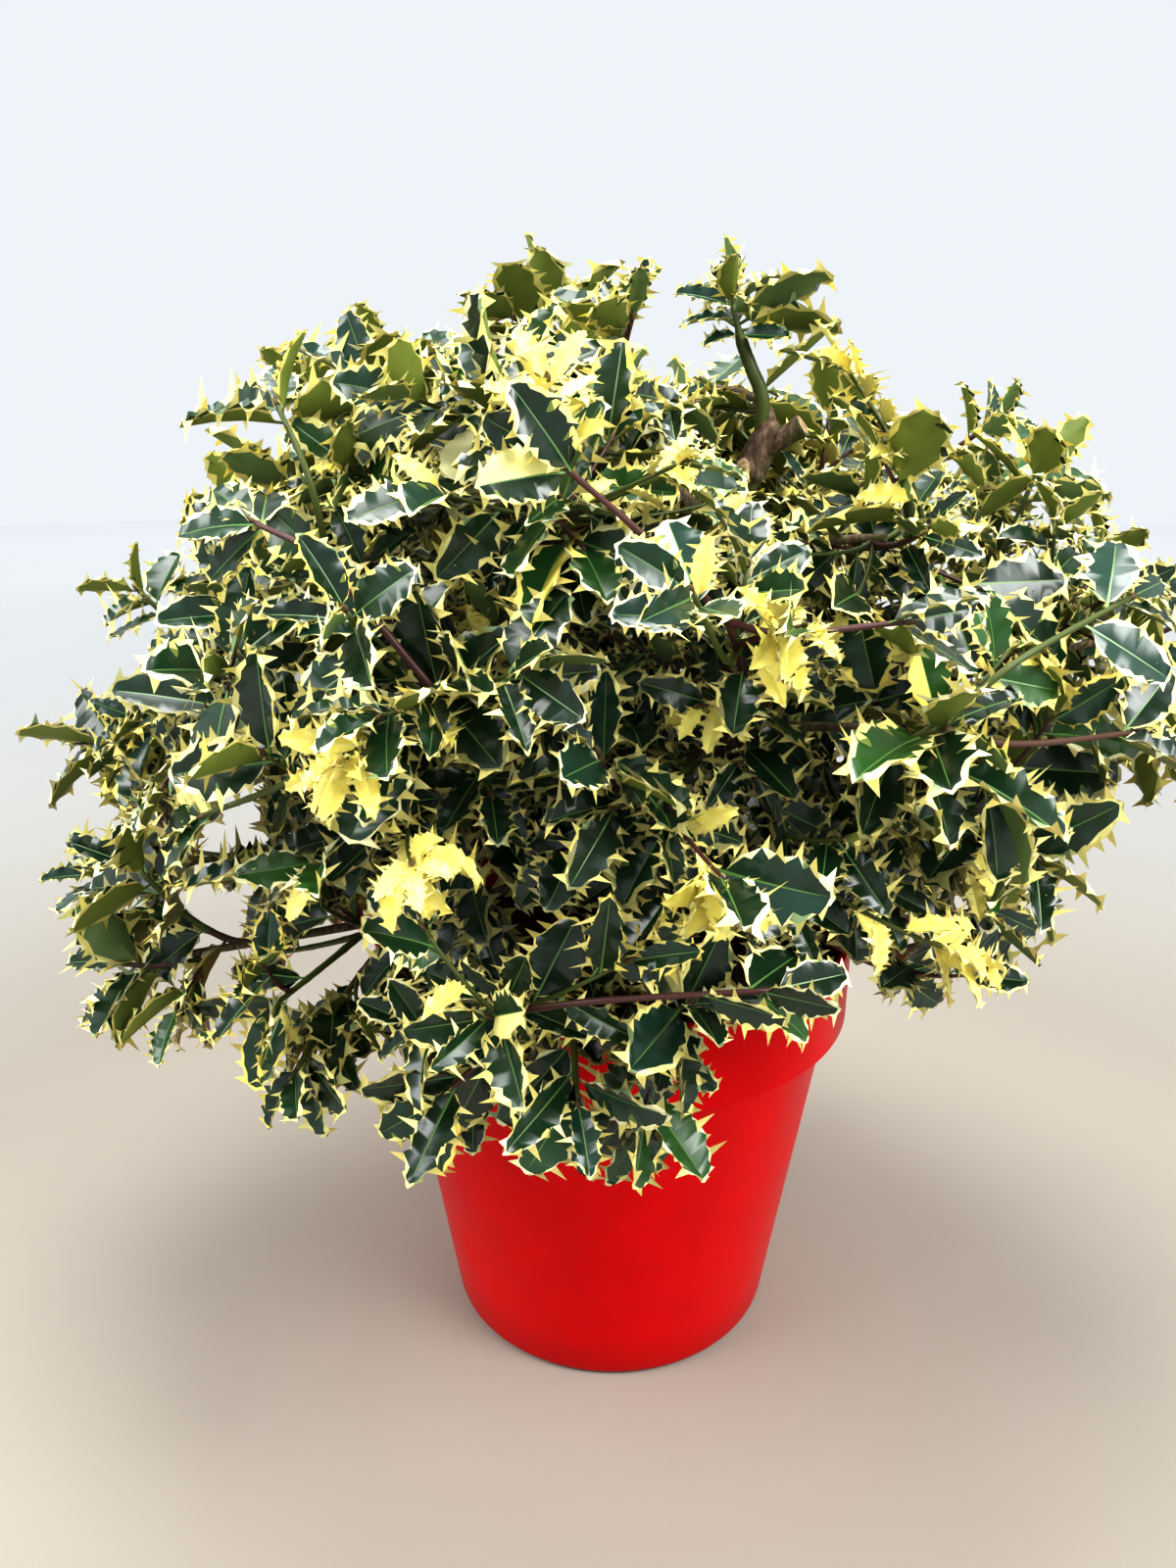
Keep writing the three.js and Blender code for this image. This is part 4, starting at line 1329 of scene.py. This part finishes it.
# %% [markdown]
# ## Colours of the leaves
# A leaf's skin has an index of 1.5, and on its upper side a clear layer of wax gives a soft gloss that
# mirrors the room. Under it the green is nearly black in some leaves and fresh in young ones, and the
# margin runs from cream to yellow; the darkest green and a dim margin also serve as painted shade deep in
# the crown.
# Colours are dealt out face by face, so each material is one plain tone.

# %% Leaf materials
# The name, colour and roughness of each.
LEAF_COLOURS = [
    ("midrib_pale_green", "#5B8240", 0.4),
    ("blade_dark_green", "#0D2B15", 0.26),
    ("blade_deep_green", "#14371C", 0.3),
    ("blade_blue_green", "#163A2A", 0.26),
    ("blade_mid_green", "#1F451C", 0.32),
    ("blade_fresh_green", "#235116", 0.34),
    ("margin_fleck_grey_green", "#7F9468", 0.38),
    ("margin_cream", "#F4F0BE", 0.42),
    ("margin_pale_yellow", "#F4EC9E", 0.42),
    ("margin_yellow", "#F3E274", 0.42),
    ("leaf_all_lemon_yellow", "#F6EA80", 0.4),
    # A dim margin: painted shade for leaves deep in the crown.
    ("margin_old_and_dull", "#8F8C55", 0.5),
    ("underside_olive", "#76843A", 0.5),
    ("underside_dull_green", "#647B4A", 0.5),
    # The underside's margin is pale yellow, brightened towards the upper margin's tone as a painted glow of
    # light shining through it.
    ("underside_margin_yellow", "#E8DC8A", 0.5),
]
(RIB, DARK, DEEP, BLUE, MID, FRESH, FLECK, CREAM, PALE, YELLOW, LEMON, SHADE_MARGIN, OLIVE_UNDER, DULL_UNDER,
 YELLOW_UNDER_WITH_GLOW) = range(len(LEAF_COLOURS))
WAX, WAX_ROUGHNESS = 0.3, 0.3

leaf_materials = []
for name, colour, roughness in LEAF_COLOURS:
    wax = 0.0 if name.startswith("underside") else WAX
    leaf_materials.append(surface(new_material(name), {
        "Base Color": linear(colour), "Roughness": roughness, "IOR": 1.5, "Coat Weight": wax,
        "Coat Roughness": WAX_ROUGHNESS}))
print(len(leaf_materials), "leaf materials")

# %% [markdown]
# ## Dealing out the leaves
# Leaves stand round a shoot by the golden angle, closer together towards its end, where they make a
# rosette. Each turns its upper side to the sky and out of the crown. A leaf that would meet another, the
# pot or a bough is turned further round, and left out if there is no room. Space is cut into small cubes
# that list the leaves in them, so that a leaf is compared with its neighbours alone.

# %% Where leaves go
LEAF_SPREAD = (1.25, 0.72)  # radians between leaf and shoot, at its foot and at its end
LEAF_SPACING = 13 * MM  # between leaves along a shoot
LEAF_ROOM = 15.5 * MM  # between the middles of two leaves, and half of that on a yellow shoot
LEAF_MIDDLE = 0.55  # where a leaf's middle lies, as a share of its length
LIMB_ROOM = 2 * MM
ROSETTE = 5
ROSETTE_SPREAD = (0.35, 0.95)  # radians, from the innermost leaf to the outermost
ROSETTE_SIZE = (0.72, 0.95)
ROSETTE_STEP = 2.2 * MM
BARE_BELOW = (0.45, 0.2)  # the share without leaves of a spray longer than the next value, and of others
LONG_SPRAY = 90 * MM
NOT_AT_END = 6 * MM  # the leaves below a rosette keep this far from the spray's end
LIGHT = 0.8  # how much leaves turn to the sky rather than out of the crown
SCATTER = 0.35  # how much chance turns them
FLATTENING = 0.4  # how much of their slant to the light leaves give up
DROOP = 0.18  # how much they hang
STANDING = 0.3  # how much less they do both at the top of the crown, where they stand upright
STANDS_FROM, STANDS_AT = 490 * MM, 570 * MM
ROLL = 0.85
TRIES = 5
TRY_TURN = 1.1  # radians further round at each try
TRY_SHRINK = 0.03
CELL = 19 * MM
BARE_PART = (0.45, 0.85)  # the part of a shoot that shows which leaves of other shoots don't cover
BARE_ROOM = 17 * MM  # round that part
RIM_SHOWS = (284, 332, 312 * MM)  # azimuths between which no leaf hangs lower

limb_places = np.array([point for point, _ in limb_samples])
limb_radii = np.array([radius for _, radius in limb_samples])
cleared = [[spray["line"](t) for t in BARE_PART] for spray in sprays_shown]
taken = {}
leaves = []


def cell_of(point):
    """The small cube of space that a point lies in."""
    return tuple(int(math.floor(value / CELL)) for value in point)


def has_room(point, room):
    """Whether no leaf's middle lies too near."""
    x, y, z = cell_of(point)
    for dx, dy, dz in product((-1, 0, 1), repeat=3):
        for other in taken.get((x + dx, y + dy, z + dz), ()):
            if (other - point).length < room:
                return False
    return True


def meets_limb(point):
    """Whether a point lies too near to the trunk or a bough."""
    away = np.linalg.norm(limb_places - np.array(point), axis=1)
    return (away < limb_radii + LIMB_ROOM).any()


def leaf_fits(leaf):
    """Whether a leaf keeps clear of other leaves, the pot, the limbs and what is to show."""
    foot, (along, across, up), length = leaf["foot"], leaf["axes"], leaf["length"]
    middle = foot + along * length * LEAF_MIDDLE
    if not has_room(middle, LEAF_ROOM * (0.5 if "rosette" in leaf["spray"] else 1)):
        return False
    sideward = across * length * 0.3
    probes = [middle, foot + along * length, foot + along * length * 0.3]
    probes += [middle + sideward, middle - sideward]
    for point in probes:
        if not clear_of_pot(point) or hangs_in(RIM_SHOWS, point) or in_opening(point):
            return False
    if "bare" not in leaf["spray"] and any(distance_to(middle, *line) < BARE_ROOM for line in cleared):
        return False
    return not any(meets_limb(point) for point in probes[:3])


def leaf_along(spray, foot, along, length):
    """A leaf that leaves its spray at a point in a direction: its foot, its axes and its length."""
    chance = Vector(rng.uniform(-1, 1, 3)) * SCATTER
    light = ((foot - CROWN_CENTRE).normalized() + UP * LIGHT + chance).normalized()
    lying = 1 - STANDING * within_one((foot.z - STANDS_FROM) / (STANDS_AT - STANDS_FROM))
    along = (along - light * along.dot(light) * FLATTENING * lying - UP * DROOP * lying).normalized()
    up = (light - along * light.dot(along)).normalized()
    up = Matrix.Rotation(ROLL * rng.uniform(-1, 1), 3, along) @ up
    return {"spray": spray, "foot": foot, "axes": (along, up.cross(along), up), "length": length}


def leaf_at(spray, t, turn, spread, length):
    """A leaf on a spray, turned round it and spread from it."""
    line = spray["line"]
    ahead = (line(min(1, t + 0.05)) - line(max(0, t - 0.05))).normalized()
    along = ahead * math.cos(spread) + sideways(ahead, turn) * math.sin(spread)
    return leaf_along(spray, line(t), along, length)


def keep_leaf(leaf):
    """Adds a leaf, and files where its middle is."""
    middle = leaf["foot"] + leaf["axes"][0] * leaf["length"] * LEAF_MIDDLE
    taken.setdefault(cell_of(middle), []).append(middle)
    leaves.append(leaf)


def grow_leaf(spray, t, turn, spread, length):
    """Tries a leaf a few times, each time turned further round, and keeps the first that fits."""
    for attempt in range(TRIES):
        leaf = leaf_at(spray, t, turn + attempt * TRY_TURN, spread, length * (1 - TRY_SHRINK * attempt))
        if leaf_fits(leaf):
            keep_leaf(leaf)
            return


sprays = sprays_shown + yellow_shoots + shoots + twigs
for t, direction, length in LEADER_LEAVES:
    along = Vector(direction).normalized() + UP * DROOP
    keep_leaf(leaf_along(sprays_shown[0], leader_line(t), along, length * MM))
for spray in sprays:
    spray["turn"] = rng.uniform(0, 2 * math.pi)
    spray.setdefault("size", LEAF_LENGTH * rng.uniform(0.74, 1.16))
    rosette = spray.get("rosette", ROSETTE)
    for i in range(rosette):
        out = i / (rosette - 1)
        spread = mix(*ROSETTE_SPREAD, out) * rng.uniform(0.85, 1.15)
        turn = spray["turn"] + i * GOLDEN_ANGLE
        size = spray["size"] * mix(*ROSETTE_SIZE, out) * rng.uniform(0.9, 1.1)
        grow_leaf(spray, 1 - i * ROSETTE_STEP / spray["length"], turn, spread, size)
for spray in sprays:
    bare = spray.get("bare", BARE_BELOW[0] if spray["length"] > LONG_SPRAY else BARE_BELOW[1])
    count = int(spray["length"] * (1 - bare) / LEAF_SPACING)
    for i in range(count, 0, -1):
        t = mix(bare, 1 - NOT_AT_END / spray["length"], (i - 0.5) / count)
        spread = mix(*LEAF_SPREAD, t) * rng.uniform(0.85, 1.12)
        turn = spray["turn"] + (ROSETTE + count - i) * GOLDEN_ANGLE
        grow_leaf(spray, t, turn, spread, spray["size"] * rng.uniform(0.82, 1.05))
print(len(leaves), "leaves,", len(leaves) * LEAF_TRIANGLES, "triangles")

# %% [markdown]
# Each spray is dealt its green and its margin, so that neighbours match, and each leaf may stray from them.
# Low and deep in the crown, where leaf shades leaf, leaves get the darkest green and a dim margin: painted
# shade. Now and then a leaf is half yellow, or a whole spray has lost its green, and leaves without green
# stay small and curl.

# %% Dealing out the colours
BLADES = [DARK, DEEP, BLUE, MID, FRESH]
BLADE_SHARES = [0.34, 0.30, 0.18, 0.12, 0.06]
MARGINS = [CREAM, PALE, YELLOW]
MARGIN_SHARES = [0.45, 0.40, 0.15]
STRAY = 0.3  # the share of leaves whose green, or margin, is dealt again
OLIVE_SHARE = 0.6  # of the undersides
HALF_YELLOW = 0.04  # of the leaves
ALL_YELLOW = 0.02
YELLOW_SPRAYS = 0.01  # the share of sprays without green
YELLOW_INSIDE = (0.05, 0.3)  # the same for sprays that end inside the crown, low down and high up
LOW_DOWN, HIGH_UP = 420 * MM, 520 * MM
INSIDE = 0.76  # of the crown's reach
YELLOW_LEAVES = 0.85  # the share of a yellow spray's leaves that are yellow
YELLOW_SIZE = 0.62
SHADED_INSIDE = 0.8  # nearer to the crown's centre than this share of its reach, leaves get painted shade
SHADED_BELOW = 470 * MM  # above this height light comes in, so no painted shade is put there
SMOOTH_ABOVE = 520 * MM
SMOOTH_SHARE = 0.03
FLECKED = 0.06  # of the margin's faces


def share_out(point):
    """How far out in the crown a point lies: 0 at its centre and 1 on its outline."""
    out = point - CROWN_CENTRE
    return out.length / crown_reach(out.normalized())


for spray in sprays:
    tip = spray["line"](1)
    spray["blade"] = rng.choice(BLADES, p=BLADE_SHARES)
    spray["margin"] = rng.choice(MARGINS, p=MARGIN_SHARES)
    chosen = any(spray is shoot for shoot in yellow_shoots)
    high_up = within_one((tip.z - LOW_DOWN) / (HIGH_UP - LOW_DOWN))
    likely = mix(*YELLOW_INSIDE, high_up) if share_out(tip) < INSIDE else YELLOW_SPRAYS
    spray["yellow"] = chosen or rng.random() < likely
for leaf in leaves:
    spray = leaf["spray"]
    blade = spray["blade"] if rng.random() > STRAY else rng.choice(BLADES, p=BLADE_SHARES)
    margin = spray["margin"] if rng.random() > STRAY else rng.choice(MARGINS, p=MARGIN_SHARES)
    under = OLIVE_UNDER if rng.random() < OLIVE_SHARE else DULL_UNDER
    by_role = [RIB, blade, blade, margin, under, YELLOW_UNDER_WITH_GLOW]
    chance = rng.random() if spray is not sprays_shown[0] else 1
    all_yellow = chance < (YELLOW_LEAVES if spray["yellow"] else ALL_YELLOW)
    if all_yellow:
        edge = PALE if rng.random() < 0.5 else LEMON
        by_role = [PALE, LEMON, LEMON, edge, YELLOW_UNDER_WITH_GLOW, YELLOW_UNDER_WITH_GLOW]
    # Painted shade: low and deep in the crown the blade gets the darkest green and the margin a dim tone.
    elif leaf["foot"].z < SHADED_BELOW and share_out(leaf["foot"]) < SHADED_INSIDE:
        by_role[LEFT:UNDER] = [DARK, DARK, SHADE_MARGIN]
    elif chance < ALL_YELLOW + HALF_YELLOW:
        by_role[LEFT if rng.random() < 0.5 else RIGHT] = margin
    finishes = np.array(by_role)[FACE_ROLES]
    flecks = (FACE_ROLES == MARGIN) & (rng.random(len(finishes)) < FLECKED)
    if np.isin(by_role[LEFT:MARGIN], BLADES).all():
        finishes[flecks] = FLECK
    leaf["finishes"] = finishes
    leaf["shape"] = rng.integers(SHAPES - SMOOTH_SHAPES)
    if all_yellow:
        leaf["shape"] = rng.integers(CURLY_SHAPES)
    elif leaf["foot"].z > SMOOTH_ABOVE and rng.random() < SMOOTH_SHARE:
        leaf["shape"] = SHAPES - 1 - rng.integers(SMOOTH_SHAPES)
    size = leaf["length"] * (YELLOW_SIZE if all_yellow else 1)
    folding = rng.uniform(1.0, 1.5) if spray is sprays_shown[0] else rng.uniform(0.7, 1.4)
    leaf["scale"] = size * np.array([1, rng.uniform(0.88, 1.1), folding])
    leaf["yellow"] = all_yellow
print(sum(leaf["yellow"] for leaf in leaves), "leaves without green")

# %% [markdown]
# The leaves of each part of the crown are joined into one mesh: the points of a leaf's shape are scaled,
# turned by its axes and moved to its foot, for all leaves at once. The edges of each leaf and its midrib
# are marked sharp, so that the two halves of the blade catch the light apart.

# %% Leaf pieces
def leaf_mesh(name, group):
    """Joins leaves into one mesh."""
    shapes = leaf_shapes[[leaf["shape"] for leaf in group]]
    scales = np.array([leaf["scale"] for leaf in group])
    axes = np.array([[list(axis) for axis in leaf["axes"]] for leaf in group])
    feet = np.array([list(leaf["foot"]) for leaf in group])
    points = np.einsum("lpi,lij->lpj", shapes * scales[:, None, :], axes) + feet[:, None, :]
    firsts = np.arange(len(group)) * len(LEAF_POINTS)
    corners = (LEAF_CORNERS[None, :] + firsts[:, None]).ravel()
    sizes = np.tile(LEAF_SIZES, len(group))
    finishes = np.concatenate([leaf["finishes"] for leaf in group])
    return mesh_from_arrays(name, points.reshape(-1, 3), corners, sizes, finishes)


def mark_sharp(mesh):
    """Marks the edges of the leaves and of their midribs."""
    pairs = np.empty(len(mesh.edges) * 2, dtype=np.int32)
    mesh.edges.foreach_get("vertices", pairs)
    pairs = np.sort(pairs.reshape(-1, 2) % len(LEAF_POINTS), axis=1)
    codes = pairs[:, 0] * len(LEAF_POINTS) + pairs[:, 1]
    sharp_codes = [a * len(LEAF_POINTS) + b for a, b in SHARP_PAIRS]
    attribute = mesh.attributes.get("sharp_edge") or mesh.attributes.new("sharp_edge", "BOOLEAN", "EDGE")
    attribute.data.foreach_set("value", np.isin(codes, sharp_codes))


# Each piece, and the masses whose nodes it stands for.
PARTS = {
    "leaves_low_left": ["low_3", "low_4", "low_5"],
    "leaves_low_right": ["low_1", "low_2", "low_6", "low_7"],
    "leaves_middle_left": ["middle_3", "middle_4", "middle_5"],
    "leaves_middle_right": ["middle_1", "middle_2", "middle_6", "middle_7"],
    "leaves_upper_left": ["upper_2", "upper_3", "upper_4"],
    "leaves_upper_right": ["upper_1", "upper_5"],
    "leaves_crest": ["crest", "leader"],
}
for part, names in PARTS.items():
    group = [leaf for leaf in leaves if leaf["spray"]["mass"]["name"] in names]
    mesh = leaf_mesh(part, group)
    add_piece(part, mesh, leaf_materials, [f"foliage_{name}" for name in names])
    mark_sharp(mesh)
    print("   ", len(group), "leaves")

# %% [markdown]
# ## Buds
# A pointed bud sits in the rosette at the end of each shoot. It is a small tube that swells and closes.

# %% Buds
BUD_LENGTH = 5.5 * MM
BUD_SHARES = (-0.1, 0.25, 0.6, 1.0)
BUD_RADII = (0.9 * MM, 1.5 * MM, 1.3 * MM, 0.25 * MM)  # at those shares of its length

bud_scales = surface(new_material("bud_scales_green_purple"), {
    "Base Color": linear("#5B4A2E"), "Roughness": 0.5, "IOR": 1.45})
bud_heap = Heap()
for spray in sprays:
    end = spray["line"](1)
    ahead = (end - spray["line"](0.95)).normalized()
    bud_heap.add(*tube([end + ahead * BUD_LENGTH * share for share in BUD_SHARES], BUD_RADII, 6), 0)
add_piece("buds", bud_heap.mesh("buds"), [bud_scales])
